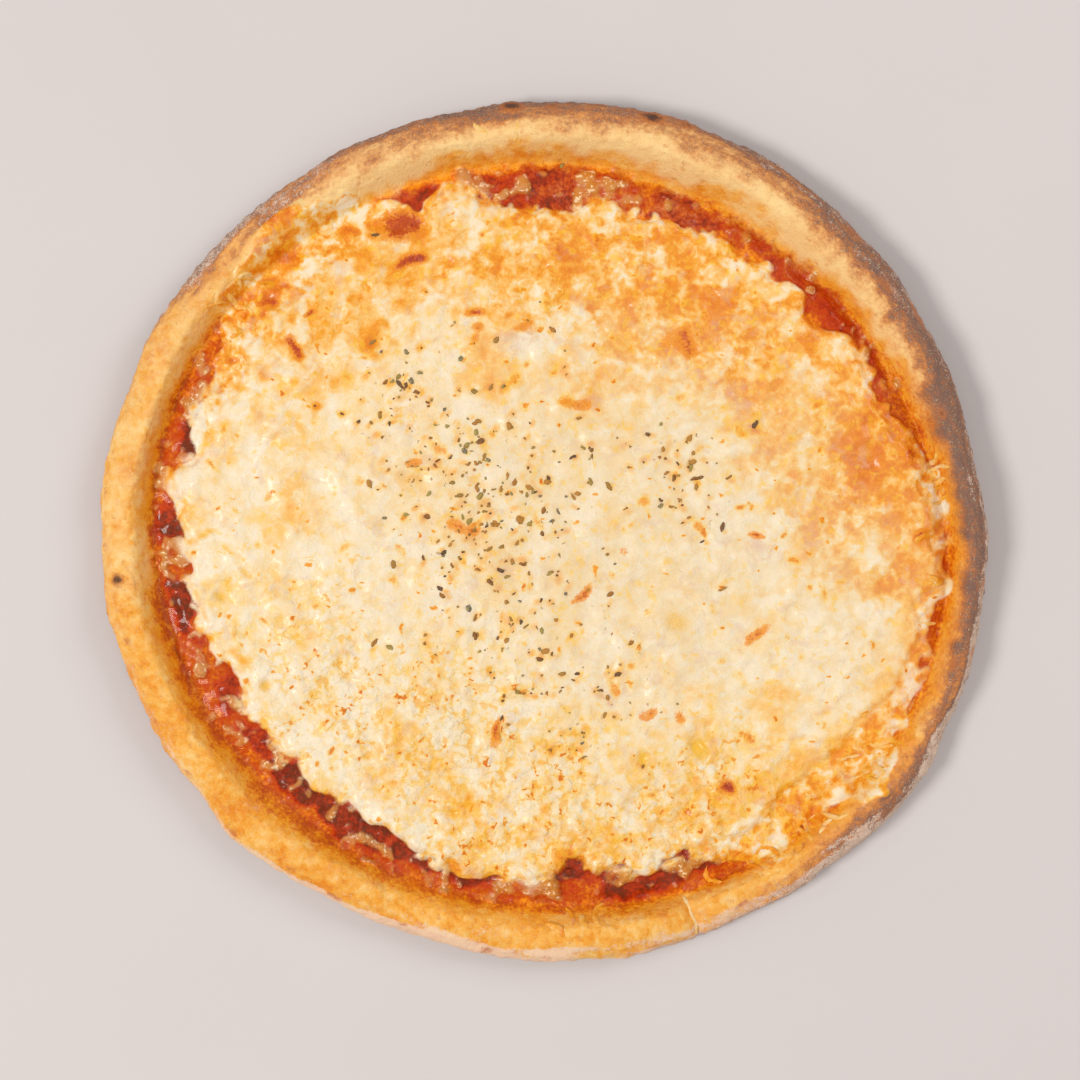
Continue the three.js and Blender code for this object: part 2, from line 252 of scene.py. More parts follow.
def paint_shreds(chart, count, where, length, width, height, seed):
    """Strews shreds over a chart, more of them where a chart of shares is high."""
    rng = np.random.default_rng(seed)
    made = 0
    while made < count:
        x, y = rng.uniform(-OUTLINE[0], OUTLINE[0], 2)
        if rng.random() > read_chart(where, x, y):
            continue
        made += 1
        size = [rng.uniform(*span) for span in (length, width, height)]
        paint_shred(chart, x, y, *size, rng.uniform(0, np.pi), rng.uniform(-0.06, 0.06))
    return chart


# ---------------------------------------------------------------- nodes as expressions


class Value:
    """A node's output. An expression on values adds the Math nodes that work it out."""

    def __init__(self, graph, socket):
        self.graph, self.socket = graph, socket

    def _math(self, operation, *operands):
        node = self.graph.node("ShaderNodeMath", {"operation": operation}, dict(enumerate(operands)))
        return node[0]

    def __add__(self, other):
        return self._math("ADD", self, other)

    def __sub__(self, other):
        return self._math("SUBTRACT", self, other)

    def __rsub__(self, other):
        return self._math("SUBTRACT", other, self)

    def __mul__(self, other):
        return self._math("MULTIPLY", self, other)

    def __truediv__(self, other):
        return self._math("DIVIDE", self, other)

    def __rtruediv__(self, other):
        return self._math("DIVIDE", other, self)

    def __pow__(self, other):
        return self._math("POWER", self, other)

    __radd__ = __add__
    __rmul__ = __mul__

    def at_least(self, other):
        return self._math("MAXIMUM", self, other)

    def step(self, low, high):
        """0 below low, 1 above high, smooth between."""
        settings = {"interpolation_type": "SMOOTHSTEP"}
        sockets = {"Value": self, "From Min": low, "From Max": high}
        return self.graph.node("ShaderNodeMapRange", settings, sockets)[0]


class Outputs:
    """The outputs of one node, by name or number."""

    def __init__(self, graph, node):
        self.graph, self.made = graph, node

    def __getitem__(self, key):
        return Value(self.graph, self.made.outputs[key])


class Graph:
    """Adds nodes to one tree. Its patterns lie in the coordinates that a node of one kind gives."""

    def __init__(self, tree, kind, output):
        self.tree = tree
        self.place = self.node(kind)[output]

    def node(self, kind, settings=None, sockets=None):
        """A node of a kind: its settings first, then the values or links of its sockets."""
        made = self.tree.nodes.new(kind)
        for name, setting in (settings or {}).items():
            if name == "stops":
                self._set_stops(made.color_ramp, setting)
            else:
                setattr(made, name, setting)
        for key, value in (sockets or {}).items():
            if isinstance(value, Value):
                self.tree.links.new(value.socket, made.inputs[key])
            else:
                made.inputs[key].default_value = value
        return Outputs(self, made)

    @staticmethod
    def _set_stops(ramp, stops):
        while len(ramp.elements) < len(stops):
            ramp.elements.new(1)
        for element, (place, colour) in zip(ramp.elements, stops):
            element.position, element.color = place, (*colour, 1)

    def vector(self, operation, *operands):
        return self.node("ShaderNodeVectorMath", {"operation": operation}, dict(enumerate(operands)))["Vector"]

    def scaled(self, vector, scale):
        return self.node("ShaderNodeVectorMath", {"operation": "SCALE"}, {0: vector, "Scale": scale})["Vector"]

    def combine(self, **parts):
        """A vector from its parts X, Y and Z. A part that isn't given is 0."""
        return self.node("ShaderNodeCombineXYZ", None, parts)["Vector"]

    def noise(self, size, detail=2.0, rough=0.5, place=None, output="Fac"):
        """Cloudy noise whose lumps are about a size in millimetres."""
        sockets = {"Vector": place or self.place, "Scale": 1 / (size * MM)}
        sockets.update({"Detail": detail, "Roughness": rough})
        return self.node("ShaderNodeTexNoise", None, sockets)[output]

    def drift(self, size, detail=1):
        """Noise as a vector whose parts lie between -0.5 and 0.5."""
        return self.vector("SUBTRACT", self.noise(size, detail, output="Color"), (0.5, 0.5, 0.5))

    def mix(self, low, high, factor):
        """A blend of two colours."""
        low, high = [(*c, 1) if isinstance(c, tuple) else c for c in (low, high)]
        return self.node("ShaderNodeMix", {"data_type": "RGBA"}, {0: factor, 6: low, 7: high})[2]


RIM_RADIUS = 130  # where a pattern that runs round the rim keeps its size


class Paint(Graph):
    """A material's nodes, with the patterns that the finishes share."""

    def __init__(self, name):
        self.material = bpy.data.materials.new(name)
        self.material.use_nodes = True
        self.material.node_tree.nodes.clear()
        super().__init__(self.material.node_tree, "ShaderNodeTexCoord", "Object")

    def mask(self, name):
        """A number that the mesh carries at each point."""
        return self.node("ShaderNodeAttribute", {"attribute_name": name})["Fac"]

    def pushed(self, size, distance):
        """Object coordinates pushed about by noise, by up to about a distance in millimetres."""
        return self.vector("ADD", self.place, self.scaled(self.drift(size), 2 * distance * MM))

    def round_the_rim(self, stretch):
        """Coordinates in which a pattern comes out stretched along the rim."""
        flat = self.vector("MULTIPLY", self.place, (1, 1, 0))
        radius = self.node("ShaderNodeVectorMath", {"operation": "LENGTH"}, {0: flat})["Value"]
        height = self.node("ShaderNodeSeparateXYZ", None, {0: self.place})["Z"]
        turn = self.scaled(self.vector("NORMALIZE", flat), RIM_RADIUS * MM / stretch)
        return self.vector("ADD", turn, self.combine(Z=radius - height))

    def cells(self, size, place):
        """Random cells about a size wide: the distance from each one's point, and its own colour."""
        return self.node("ShaderNodeTexVoronoi", None, {"Vector": place, "Scale": 1 / (size * MM)})

    def ramp(self, stops, tone):
        """The colour for a tone, blended between stops."""
        return self.node("ShaderNodeValToRGB", {"stops": stops}, {0: tone})["Color"]

    def flecks(self, size, reach, kept, place):
        """Small scattered marks: one in each kept cell of a size, with a soft edge at a share of the cell."""
        cell = self.cells(size, place)
        tone = self.node("ShaderNodeSeparateColor", None, {0: cell["Color"]})["Red"]
        chosen = tone.step(1 - kept, 1.02 - kept)
        return chosen * (1 - cell["Distance"].step(reach * 0.4, reach))

    def finish(self, colour, roughness, relief=None, relief_height=0.3, **shader):
        """The surface shader. A relief of 1 stands for relief_height millimetres."""
        sockets = {"Base Color": colour, "Roughness": roughness}
        if relief is not None:
            bump = {"Height": relief, "Distance": relief_height * MM, "Strength": 1.0}
            sockets["Normal"] = self.node("ShaderNodeBump", None, bump)["Normal"]
        sockets.update({name.replace("_", " "): value for name, value in shader.items()})
        surface = self.node("ShaderNodeBsdfPrincipled", {"subsurface_method": "RANDOM_WALK"}, sockets)
        self.node("ShaderNodeOutputMaterial", None, {"Surface": surface["BSDF"]})
        return self.material


# ---------------------------------------------------------------- meshes


def make_mesh(name, points, faces, masks):
    """A smooth mesh piece from points in millimetres from the angles' centre."""
    mesh = bpy.data.meshes.new(name)
    mesh.from_pydata(((points - MIDDLE) * MM).tolist(), [], faces)
    mesh.polygons.foreach_set("use_smooth", np.ones(len(mesh.polygons), bool))
    for mask, values in masks.items():
        mesh.attributes.new(mask, "FLOAT", "POINT").data.foreach_set("value", values.astype(np.float32))
    piece = bpy.data.objects.new(name, mesh)
    bpy.context.scene.collection.objects.link(piece)
    return piece


def disc_grid(cells):
    """A square grid bent into a disc: each point's share of the radius, its angle, the quads and the border."""
    side = np.linspace(-1, 1, cells + 1)
    a, b = np.meshgrid(side, side)
    wide = np.abs(a) >= np.abs(b)
    long = np.where(wide, a, b)
    short = np.where(wide, b, a)
    ratio = np.divide(short, long, out=np.zeros_like(a), where=long != 0)
    turn = np.where(wide, ratio * np.pi / 4, np.pi / 2 - ratio * np.pi / 4)
    x, y = long * np.cos(turn), long * np.sin(turn)
    share, angle = polar(x.ravel(), y.ravel())
    number = np.arange((cells + 1) ** 2).reshape(cells + 1, cells + 1)
    quads = np.stack([number[:-1, :-1], number[:-1, 1:], number[1:, 1:], number[1:, :-1]], -1).reshape(-1, 4)
    border = np.concatenate([number[0, :-1], number[:-1, -1], number[-1, :0:-1], number[:0:-1, 0]])
    return share, angle, quads.tolist(), border


def closed_rings(rings):
    """A closed surface through rings of points (rows, columns, 3), with its first and last row on the axis."""
    rows, columns = rings.shape[:2]
    points = np.vstack([rings[0, :1], rings[1:-1].reshape(-1, 3), rings[-1, :1]])
    last = len(points) - 1
    number = 1 + np.arange((rows - 2) * columns).reshape(rows - 2, columns)
    after = np.roll(number, -1, axis=1)
    quads = np.stack([number[:-1], after[:-1], after[1:], number[1:]], -1).reshape(-1, 4)
    faces = quads.tolist()
    faces += [[0, int(b), int(a)] for a, b in zip(number[0], after[0])]
    faces += [[last, int(a), int(b)] for a, b in zip(number[-1], after[-1])]
    return points, faces


def ring_masks(values):
    """A number for each point of closed_rings, from numbers (rows, columns)."""
    return np.concatenate([values[0, :1], values[1:-1].ravel(), values[-1, :1]])


# ---------------------------------------------------------------- geometry trees


def start_tree(name, numbers, objects=()):
    """A geometry tree with named inputs for numbers, objects and a material, and its input node."""
    tree = bpy.data.node_groups.new(name, "GeometryNodeTree")
    tree.interface.new_socket("Geometry", in_out="INPUT", socket_type="NodeSocketGeometry")
    kinds = {**dict.fromkeys(objects, "NodeSocketObject"), **dict.fromkeys(numbers, "NodeSocketFloat"),
             "Material": "NodeSocketMaterial"}
    graph = Graph(tree, "GeometryNodeInputPosition", "Position")
    graph.identifiers = {
        label: tree.interface.new_socket(label, in_out="INPUT", socket_type=kind).identifier
        for label, kind in kinds.items()
    }
    tree.interface.new_socket("Geometry", in_out="OUTPUT", socket_type="NodeSocketGeometry")
    return graph, graph.node("NodeGroupInput")


def end_tree(graph, geometry, given):
    real = graph.node("GeometryNodeRealizeInstances", None, {"Geometry": geometry})["Geometry"]
    coated = graph.node("GeometryNodeSetMaterial", None, {"Geometry": real, "Material": given["Material"]})
    graph.node("NodeGroupOutput", None, {"Geometry": coated["Geometry"]})
    return graph


def baked(piece, graph, settings):
    """Runs a tree on a piece, with its inputs set first, and keeps the result as the piece's mesh."""
    modifier = piece.modifiers.new(graph.tree.name, "NODES")
    modifier.node_group = graph.tree
    for label, value in settings.items():
        modifier[graph.identifiers[label]] = value
    bpy.context.view_layer.update()
    evaluated = piece.evaluated_get(bpy.context.evaluated_depsgraph_get())
    mesh = bpy.data.meshes.new_from_object(evaluated)
    piece.modifiers.remove(modifier)
    if mesh.materials[0] is None:
        mesh.materials.pop(index=0)
    piece.data = mesh
    mesh.name = piece.name
    mesh.polygons.foreach_set("use_smooth", np.ones(len(mesh.polygons), bool))
    return piece


def carried(graph, name):
    """A number that each point carries."""
    return graph.node("GeometryNodeInputNamedAttribute", {"data_type": "FLOAT"}, {"Name": name})["Attribute"]


def moved(graph, geometry, **how):
    """The geometry with its points at a Position or shifted by an Offset."""
    return graph.node("GeometryNodeSetPosition", None, {"Geometry": geometry, **how})["Geometry"]


def puffed(graph, geometry, height):
    """The geometry with its points shifted along their normals."""
    normal = graph.node("GeometryNodeInputNormal")["Normal"]
    return moved(graph, geometry, Offset=graph.scaled(normal, height))


def copied(graph, points, thing, turn, size):
    """A real copy of a thing on each point."""
    sockets = {"Points": points, "Instance": thing, "Rotation": turn, "Scale": size}
    copies = graph.node("GeometryNodeInstanceOnPoints", None, sockets)["Instances"]
    return graph.node("GeometryNodeRealizeInstances", None, {"Geometry": copies})["Geometry"]


def relief_tree():
    """Roughens a surface along its normals by lumps, blisters and grain, as far as the mask 'free' allows."""
    kinds = ("Lump Size", "Lump Height", "Blister Size", "Blister Height", "Grain Size", "Grain Height", "Seed")
    graph, given = start_tree("baked surface relief", kinds)

    def noise(size, detail, shift):
        scale = 1 / (given[size] * MM)
        sockets = {"Vector": graph.place, "W": given["Seed"] + shift, "Scale": scale, "Detail": detail}
        return graph.node("ShaderNodeTexNoise", {"noise_dimensions": "4D"}, sockets)["Fac"]

    lumps = (noise("Lump Size", 1, 0) - 0.5) * 2 * given["Lump Height"]
    blisters = noise("Blister Size", 1.5, 5).step(0.45, 0.72) * given["Blister Height"]
    grain = (noise("Grain Size", 2, 9) - 0.5) * 2 * given["Grain Height"]
    height = (lumps + blisters + grain) * carried(graph, "free") * MM
    return end_tree(graph, puffed(graph, given["Geometry"], height), given)


SUPPORTS = ("First Support", "Second Support", "Third Support")
DROP = 0.05  # how far above the underside, in metres, a strewn thing starts to fall


def landing(graph, given):
    """Where a straight drop from above each point lands on the three supports."""
    joined = graph.node("GeometryNodeJoinGeometry")
    for label in SUPPORTS:
        info = graph.node("GeometryNodeObjectInfo", {"transform_space": "RELATIVE"}, {"Object": given[label]})
        graph.tree.links.new(info["Geometry"].socket, joined.made.inputs["Geometry"])
    above = graph.vector("ADD", graph.place, (0, 0, DROP))
    sockets = {"Target Geometry": joined["Geometry"], "Source Position": above,
               "Ray Direction": (0, 0, -1), "Ray Length": 2 * DROP}
    return graph.node("GeometryNodeRaycast", {"data_type": "FLOAT"}, sockets)["Hit Position"]


def shred_tree():
    """Lays bent melted shreds on the supports, one for each point. The points carry their shred's numbers."""
    graph, given = start_tree("strewn melted shreds", ("Flatness", "Lift", "Wobble"), SUPPORTS)
    turn, half = carried(graph, "turn"), carried(graph, "width") * 0.5
    ends = {"Start": (-0.5, 0, 0), "End": (0.5, 0, 0)}
    line = graph.node("GeometryNodeCurvePrimitiveLine", None, ends)["Curve"]
    line = graph.node("GeometryNodeResampleCurve", None, {"Curve": line, "Count": 13})["Curve"]
    long = graph.combine(X=carried(graph, "length"), Y=1.0, Z=1.0)
    lines = copied(graph, given["Geometry"], line, graph.combine(Z=turn), long)

    along = graph.node("GeometryNodeSplineParameter")["Factor"] * 2 - 1
    sideways = {"Vector": (0, 1, 0), "Angle": turn}
    sideways = graph.node("ShaderNodeVectorRotate", {"rotation_type": "Z_AXIS"}, sideways)["Vector"]
    bow = graph.scaled(sideways, carried(graph, "bend") * (1 - along * along))
    wobble = graph.scaled(graph.drift(7, 2), given["Wobble"])
    lines = moved(graph, lines, Offset=graph.vector("ADD", bow, wobble))
    raised = graph.vector("ADD", landing(graph, given), graph.combine(Z=half * given["Lift"]))
    lines = moved(graph, lines, Position=raised)
    lines = graph.node("GeometryNodeSetCurveNormal", {"mode": "Z_UP"}, {"Curve": lines})["Curve"]

    circle = {"Resolution": 9, "Radius": 1.0}
    circle = graph.node("GeometryNodeCurvePrimitiveCircle", {"mode": "RADIUS"}, circle)["Curve"]
    squash = {"Geometry": circle, "Scale": graph.combine(X=1.0, Y=given["Flatness"], Z=1.0)}
    profile = graph.node("GeometryNodeTransform", None, squash)["Geometry"]
    taper = (1 - along**4).at_least(0.0) ** 0.5
    sockets = {"Curve": lines, "Profile Curve": profile, "Scale": half * (taper * 0.9 + 0.1), "Fill Caps": True}
    tubes = graph.node("GeometryNodeCurveToMesh", None, sockets)["Mesh"]
    return end_tree(graph, puffed(graph, tubes, (graph.noise(1.6, 1) - 0.5) * 0.7 * MM), given)


def flake_tree():
    """Lays a crumbled flake on the supports for each point. The points carry their flake's numbers."""
    graph, given = start_tree("strewn herb flakes", ("Crumble",), SUPPORTS)
    points = moved(graph, given["Geometry"], Position=landing(graph, given))
    ball = graph.node("GeometryNodeMeshUVSphere", None, {"Segments": 9, "Rings": 5, "Radius": 0.5})["Mesh"]
    turn, length, width, tilt = (carried(graph, name) for name in ("turn", "length", "width", "tilt"))
    turn = graph.combine(X=tilt, Y=tilt * 0.6, Z=turn)
    flakes = copied(graph, points, ball, turn, graph.combine(X=length, Y=width, Z=width * 0.55))
    flakes = moved(graph, flakes, Offset=graph.scaled(graph.drift(0.9), given["Crumble"]))
    return end_tree(graph, flakes, given)


# ---------------------------------------------------------------- the crust


CRUST_COLUMNS = 960  # points round the rim
UNDERSIDE_ROWS = 22
SIDE_ROWS = 38
SLOPE_ROWS = 24
# Folds across the rim: [angle, spread, depth].
CREASES = [[131, 1.2, 1.5], [291, 0.7, 1.8], [309, 0.9, 0.8], [314, 0.8, 0.9], [282, 0.8, 0.5]]
SKIN_MARGIN = 0.8  # room for the relief inside the solid's outline

# A section number tells how far round the rim's section a point is: 0 is the foot of the inner slope, 1 the
# crest, 2 the belly and 3 the underside's edge. The next sizes change round the pizza.
# Where the browned band begins, as a section number, and how many sections it takes to grow dark.
BROWN_START = [
    1.35, [44, 36, -0.7], [96, 24, -0.6], [356, 24, -1.15], [14, 16, -0.5], [320, 20, -0.85], [140, 20, -0.5],
    [215, 60, 0.3],
]
BROWN_REACH = 0.9
# How strongly the foot of the slope is soaked, and up to which section.
SOAKING = [1, [75, 46, -0.5], [352, 34, -0.15], [131, 16, -0.35]]
STAIN_START = -0.45
STAIN_END = [
    0.75, [235, 44, 0.6], [175, 16, -0.15], [200, 14, 0.15], [320, 18, 0.25], [60, 45, -0.25], [140, 16, 0.1],
    [98, 12, -0.15], [9, 24, 0.5],
]
# How much flour the outside carries, and from which section.
FLOUR = [0.25, [255, 34, 0.95], [320, 26, 0.55], [355, 20, 0.3], [50, 34, 0.2], [140, 20, 0.35]]
FLOUR_START = [1.35, [258, 30, -0.22], [318, 24, -0.2], [356, 20, -0.2]]
# Where the crust is pale: [angle, half width, soft border, strength]. The paleness is partly painted light that
# brightens the top and the left of the rim, whose slopes the lamps light less.
PALE_AND_PAINTED_LIGHT_ARCS = [[70, 50, 25, 1.0], [165, 20, 20, 0.4]]
# Char spots: [angle, section, spread of angle, spread of section, strength].
CHAR_SPOTS = [
    [94.5, 1.62, 1.5, 0.2, 0.9], [89, 1.66, 1.2, 0.16, 0.5], [75.6, 1.6, 1.6, 0.2, 0.95],
    [70.8, 1.66, 1.2, 0.16, 0.6], [16.6, 1.0, 0.9, 0.12, 0.55], [186.4, 1.3, 0.8, 0.16, 0.9],
    [194.6, 1.42, 0.6, 0.12, 0.45], [342, 0.9, 1.2, 0.18, 0.4], [308.8, 0.62, 1.0, 0.16, 0.7],
    [44, 1.68, 2.2, 0.24, 0.4], [30, 1.7, 2.4, 0.22, 0.4], [36, 1.3, 2.0, 0.15, 0.35],
    [353, 1.6, 1.5, 0.16, 0.35], [344, 1.65, 1.5, 0.16, 0.35], [12, 1.55, 1.2, 0.14, 0.3],
]
# Red-brown flecks near the outer edge, in the same numbers.
FLECKS = [
    [262, 1.62, 1.1, 0.14, 0.8], [240, 1.6, 1.4, 0.16, 0.8], [233, 1.5, 1.0, 0.12, 0.6],
    [224, 1.6, 1.2, 0.16, 0.7], [214, 1.62, 1.0, 0.14, 0.7], [206, 1.55, 0.9, 0.14, 0.6],
    [250, 1.5, 1.2, 0.14, 0.6], [256, 1.25, 0.8, 0.1, 0.5], [200, 1.3, 0.8, 0.12, 0.4],
    [182, 1.66, 1.2, 0.14, 0.6], [175, 1.6, 1.0, 0.12, 0.5], [190, 1.1, 0.7, 0.1, 0.4],
    [270, 1.58, 1.0, 0.14, 0.6], [277, 1.4, 0.9, 0.12, 0.4], [285, 1.5, 1.6, 0.14, 0.5],
    [298, 1.35, 1.6, 0.12, 0.7], [228, 1.1, 0.8, 0.1, 0.35], [245, 1.0, 0.9, 0.1, 0.3],
]


def crust_section(angle):
    """The rim's section at many angles, as rows from the underside's middle to the well's middle.

    Returns points (rows, columns, 3) and each point's section number."""
    rows, sections = [], []

    def add_row(radius, height, section):
        rows.append(np.stack([*place_at(radius, angle), height + 0 * angle], -1))
        sections.append(section + 0 * angle)

    crease = sum(amount * bulge(angle, at, spread) for at, spread, amount in CREASES)
    outline, crest, well = outline_radius(angle), crest_radius(angle), well_radius(angle)
    height = crest_height(angle) - crease - SKIN_MARGIN / 2
    belly = BELLY_SHARE * height
    for share in np.linspace(0, 1, UNDERSIDE_ROWS, endpoint=False):
        add_row(share**0.8 * (outline - UNDERCUT), 0, 4 - share)
    for side in np.linspace(-90, 90, SIDE_ROWS):
        cos, sin = place_at(1, side)
        double_sin = math.sin(math.radians(2 * side))
        reach = UNDERCUT if side < 0 else outline - crest
        rise = belly if side < 0 else height - belly
        puff = wave_sum(SIDE_WAVES, angle, SIDE_TWIST * side / 90) * double_sin
        inward = SKIN_MARGIN * cos + 0.6 * crease * max(0, double_sin)
        radius = outline - reach * (1 - cos) + puff * cos - inward
        add_row(radius, belly + rise * sin + np.maximum(0, puff * sin), 2 - side / 90)
    for climb in np.linspace(1, 0, SLOPE_ROWS + 1)[1:]:
        slope = np.sin(climb * np.pi / 2) ** SLOPE_POWER
        add_row(well + (crest - well) * climb, BASE_THICKNESS + (height - BASE_THICKNESS) * slope, climb)
    for inset in (3, 8):
        add_row(well - inset, BASE_THICKNESS, -inset / (crest - well))
    add_row(0, BASE_THICKNESS, -1)
    return np.stack(rows), np.stack(sections)


def around(angle, middle, half_width, soft):
    """1 within half a width of an angle, and 0 past a soft border."""
    apart = np.abs((angle - middle + 180) % 360 - 180)
    return 1 - share_between(apart, half_width, half_width + soft)


def section_marks(marks, angle, section):
    """Marks on the rim, from their angle, section, spreads and strength."""
    return sum(
        strength * bulge(angle, at, spread) * np.exp(-(((section - middle) / reach) ** 2))
        for at, middle, spread, reach, strength in marks
    )


def streaked(shape, along, across, seed):
    """Random hills on a grid that closes round the rim, longer along it than across it."""
    rows, columns = shape
    noise = np.random.default_rng(seed).standard_normal(shape)
    fade = np.exp(-2 * (np.pi * across * np.fft.fftfreq(rows)) ** 2)[:, None]
    fade = fade * np.exp(-2 * (np.pi * along * np.fft.fftfreq(columns)) ** 2)[None, :]
    hills = np.fft.ifft2(np.fft.fft2(noise) * fade).real
    return hills / hills.std()


def rim_sections(r, angle):
    """The rim's section numbers seen from above, from the foot of the inner slope to the belly."""
    well, crest = well_radius(angle), crest_radius(angle)
    outer = np.clip((r - crest) / (outline_radius(angle) - crest), 0, 1)
    return np.clip((r - well) / (crest - well), -0.6, 1) + 1 - np.arccos(outer) * 2 / np.pi


def rim_shades(section, angle, hills):
    """How far the rim is soaked, browned and pale, its paleness partly painted light. The layers inside it
    carry the same shades.
    """
    uneven = section + 0.16 * hills
    risen = share_between(section + 0.07 * hills, STAIN_START, size_at(STAIN_END, angle))
    pale = sum(strength * around(angle, at, half, soft) for at, half, soft, strength in PALE_AND_PAINTED_LIGHT_ARCS)
    return {
        "stain": size_at(SOAKING, angle) * (1 - risen),
        "brown": np.clip((uneven - size_at(BROWN_START, angle)) / BROWN_REACH, 0, 1.2),
        "pale": pale * share_between(uneven, 0.05, 0.6),
    }


def crust_masks(angle, section, points, charts):
    """What the crust's finish and relief depend on, at each point."""
    angle = angle + 0 * section
    side = share_between(section, 0.95, 1.3)
    hills = 0.7 * streaked(section.shape, 7, 1.1, 51) + 0.7 * streaked(section.shape, 12, 4, 52)
    x, y = points[..., 0], points[..., 1]
    inner_hills, ring_red = (read_chart(charts[name], x, y) for name in ("hills", "ring red"))
    hills = hills * side + inner_hills * (1 - side)
    floured = share_between(section + 0.16 * hills - size_at(FLOUR_START, angle), 0, 0.4)
    return {
        **rim_shades(section, angle, hills),
        "ring red": ring_red * (section < 1),
        "flour": floured * size_at(FLOUR, angle),
        "char": np.clip(section_marks(CHAR_SPOTS, angle, section), 0, 1),
        "fleck": np.clip(section_marks(FLECKS, angle, section), 0, 1),
        "underside": share_between(section, 2.7, 3.0),
        "free": (1 - share_between(section, 2.6, 2.95)) * (0.15 + 0.85 * share_between(section, 0.2, 0.9)),
    }


# Oil and sauce soaked into what they lie on, from amber to the deep red of thick sauce.
SOAKED_TONES = [
    (0.0, (0.93, 0.38, 0.01)), (0.18, (0.8, 0.2, 0.002)), (0.36, (0.54, 0.08, 0.001)),
    (0.55, (0.54, 0.035, 0.0008)), (0.74, (0.38, 0.013, 0.0005)), (0.88, (0.22, 0.006, 0.0004)),
    (1.0, (0.13, 0.004, 0.0003)),
]
# Plain golden crust, from its darkest to its palest patches.
GOLDEN_TONES = [
    (0.38, (0.8, 0.25, 0.012)), (0.46, (0.88, 0.36, 0.035)), (0.54, (0.92, 0.46, 0.085)),
    (0.64, (0.94, 0.6, 0.22)),
]


def golden_crust(paint):
    """The colour of plain golden crust."""
    tone = paint.noise(13, 2, 0.5) * 0.45 + paint.noise(3, 4, 0.6, paint.pushed(3, 1)) * 0.55
    return paint.ramp(GOLDEN_TONES, tone)


# Browned crust, from its first tan to the dark outer edge.
TOASTED_TONES = [
    (0.05, (0.92, 0.5, 0.17)), (0.3, (0.8, 0.34, 0.095)), (0.5, (0.62, 0.22, 0.06)),
    (0.7, (0.43, 0.165, 0.07)), (0.86, (0.3, 0.135, 0.08)), (1.0, (0.22, 0.12, 0.09)),
]


def toasted_crust(paint, depth, fine, streak):
    """Browned crust, darker outwards and in streaks that run round the rim."""
    tone = depth * 0.8 + (fine - 0.5) * 1.0 + (streak - 0.5) * 0.9
    return paint.ramp(TOASTED_TONES, tone)


def underside_crust(paint, middle, fine, grain):
    """The pale floury base with browned patches and scorched spots."""
    wide = paint.noise(18, 3, 0.6)
    base = paint.mix((0.78, 0.55, 0.33), (0.5, 0.24, 0.09), (wide + (fine - 0.5) * 0.3).step(0.42, 0.6))
    scorched = paint.cells(11, paint.pushed(6, 3))["Distance"]
    base = paint.mix(base, (0.1, 0.045, 0.022), (1 - (scorched + (middle - 0.5) * 0.4).step(0.1, 0.32)) * 0.85)
    return paint.mix(base, (0.88, 0.78, 0.66), (fine * 0.5 + grain * 0.6).step(0.58, 0.7) * 0.55)


RIM_MASKS = ("stain", "ring red", "brown", "pale")


def rim_colour(paint, middle, fine):
    """The rim and its foot: golden crust, pale on the top and left partly as painted light, brown outwards,
    amber where oil and red where sauce soaked in.

    Returns the colour, the soaked share and how wet it is."""
    stain, red, brown, pale = map(paint.mask, RIM_MASKS)
    streak = paint.noise(2.2, 4, 0.6, paint.round_the_rim(1.8))
    # Pale crust, partly painted light that brightens the top and the left of the rim.
    paleness_and_painted_light = (pale + (middle - 0.5) * 1.4).step(0.0, 1.1) * 0.85
    colour = paint.mix(golden_crust(paint), (0.97, 0.7, 0.33), paleness_and_painted_light)
    browned = (brown * 1.3 + (middle - 0.5) * 0.9 + (streak - 0.5) * 0.7 + (fine - 0.5) * 0.7).step(-0.15, 1.15)
    colour = paint.mix(colour, toasted_crust(paint, brown, fine, streak), browned)
    soaked = (stain + (middle - 0.5) * 0.5 + (fine - 0.5) * 0.3).step(0.06, 0.6)
    depth = stain.step(0.2, 1.0) * 0.38 + red * 0.6 + (middle - 0.5) * 0.9 + (fine - 0.5) * 0.8
    return paint.mix(colour, paint.ramp(SOAKED_TONES, depth), soaked * 0.95), soaked, (soaked + red) * 0.12


def crust_finish():
    paint = Paint("baked crust")
    flour, char, fleck, underside = map(paint.mask, ("flour", "char", "fleck", "underside"))
    middle = paint.noise(4, 4, 0.6)
    fine = paint.noise(1.2, 3, 0.6)
    grain = paint.noise(0.45, 2, 0.6)
    colour, soaked, wet = rim_colour(paint, middle, fine)
    dry = 1 - soaked
    pores = paint.flecks(3.0, 0.4, 0.35, paint.pushed(1.5, 0.8))
    colour = paint.mix(colour, (0.66, 0.2, 0.02), pores * dry * (fine.step(0.4, 0.6) * 0.5))
    colour = paint.mix(colour, (0.95, 0.68, 0.34), (grain * 0.6 + fine * 0.4).step(0.55, 0.66) * dry * 0.5)
    dusted = (flour * 1.1 + (middle - 0.5) * 1.2 + (fine - 0.5) * 1.2 + (grain - 0.5) * 1.4).step(0.35, 0.95)
    colour = paint.mix(colour, (0.9, 0.68, 0.53), dusted * 0.7)
    colour = paint.mix(colour, (0.6, 0.16, 0.05), (fleck + (fine - 0.5) * 1.2).step(0.25, 0.8) * 0.75)
    scorched = char * 1.3 + (fine - 0.5) * 0.9
    colour = paint.mix(colour, (0.55, 0.16, 0.03), scorched.step(0.1, 0.5) * 0.6)
    colour = paint.mix(colour, (0.09, 0.035, 0.022), scorched.step(0.4, 1.1) * 0.92)
    colour = paint.mix(colour, underside_crust(paint, middle, fine, grain), underside)
    roughness = 0.58 - soaked * 0.25 + dusted * 0.3 + underside * 0.2 + (fine - 0.5) * 0.3
    relief = middle * 0.35 + fine * 0.45 + grain * 0.4 - pores * 0.15
    coat = {"Coat_Weight": wet, "Coat_Roughness": 0.12}
    return paint.finish(colour, roughness, relief, 0.8, **coat, Specular_IOR_Level=0.2)


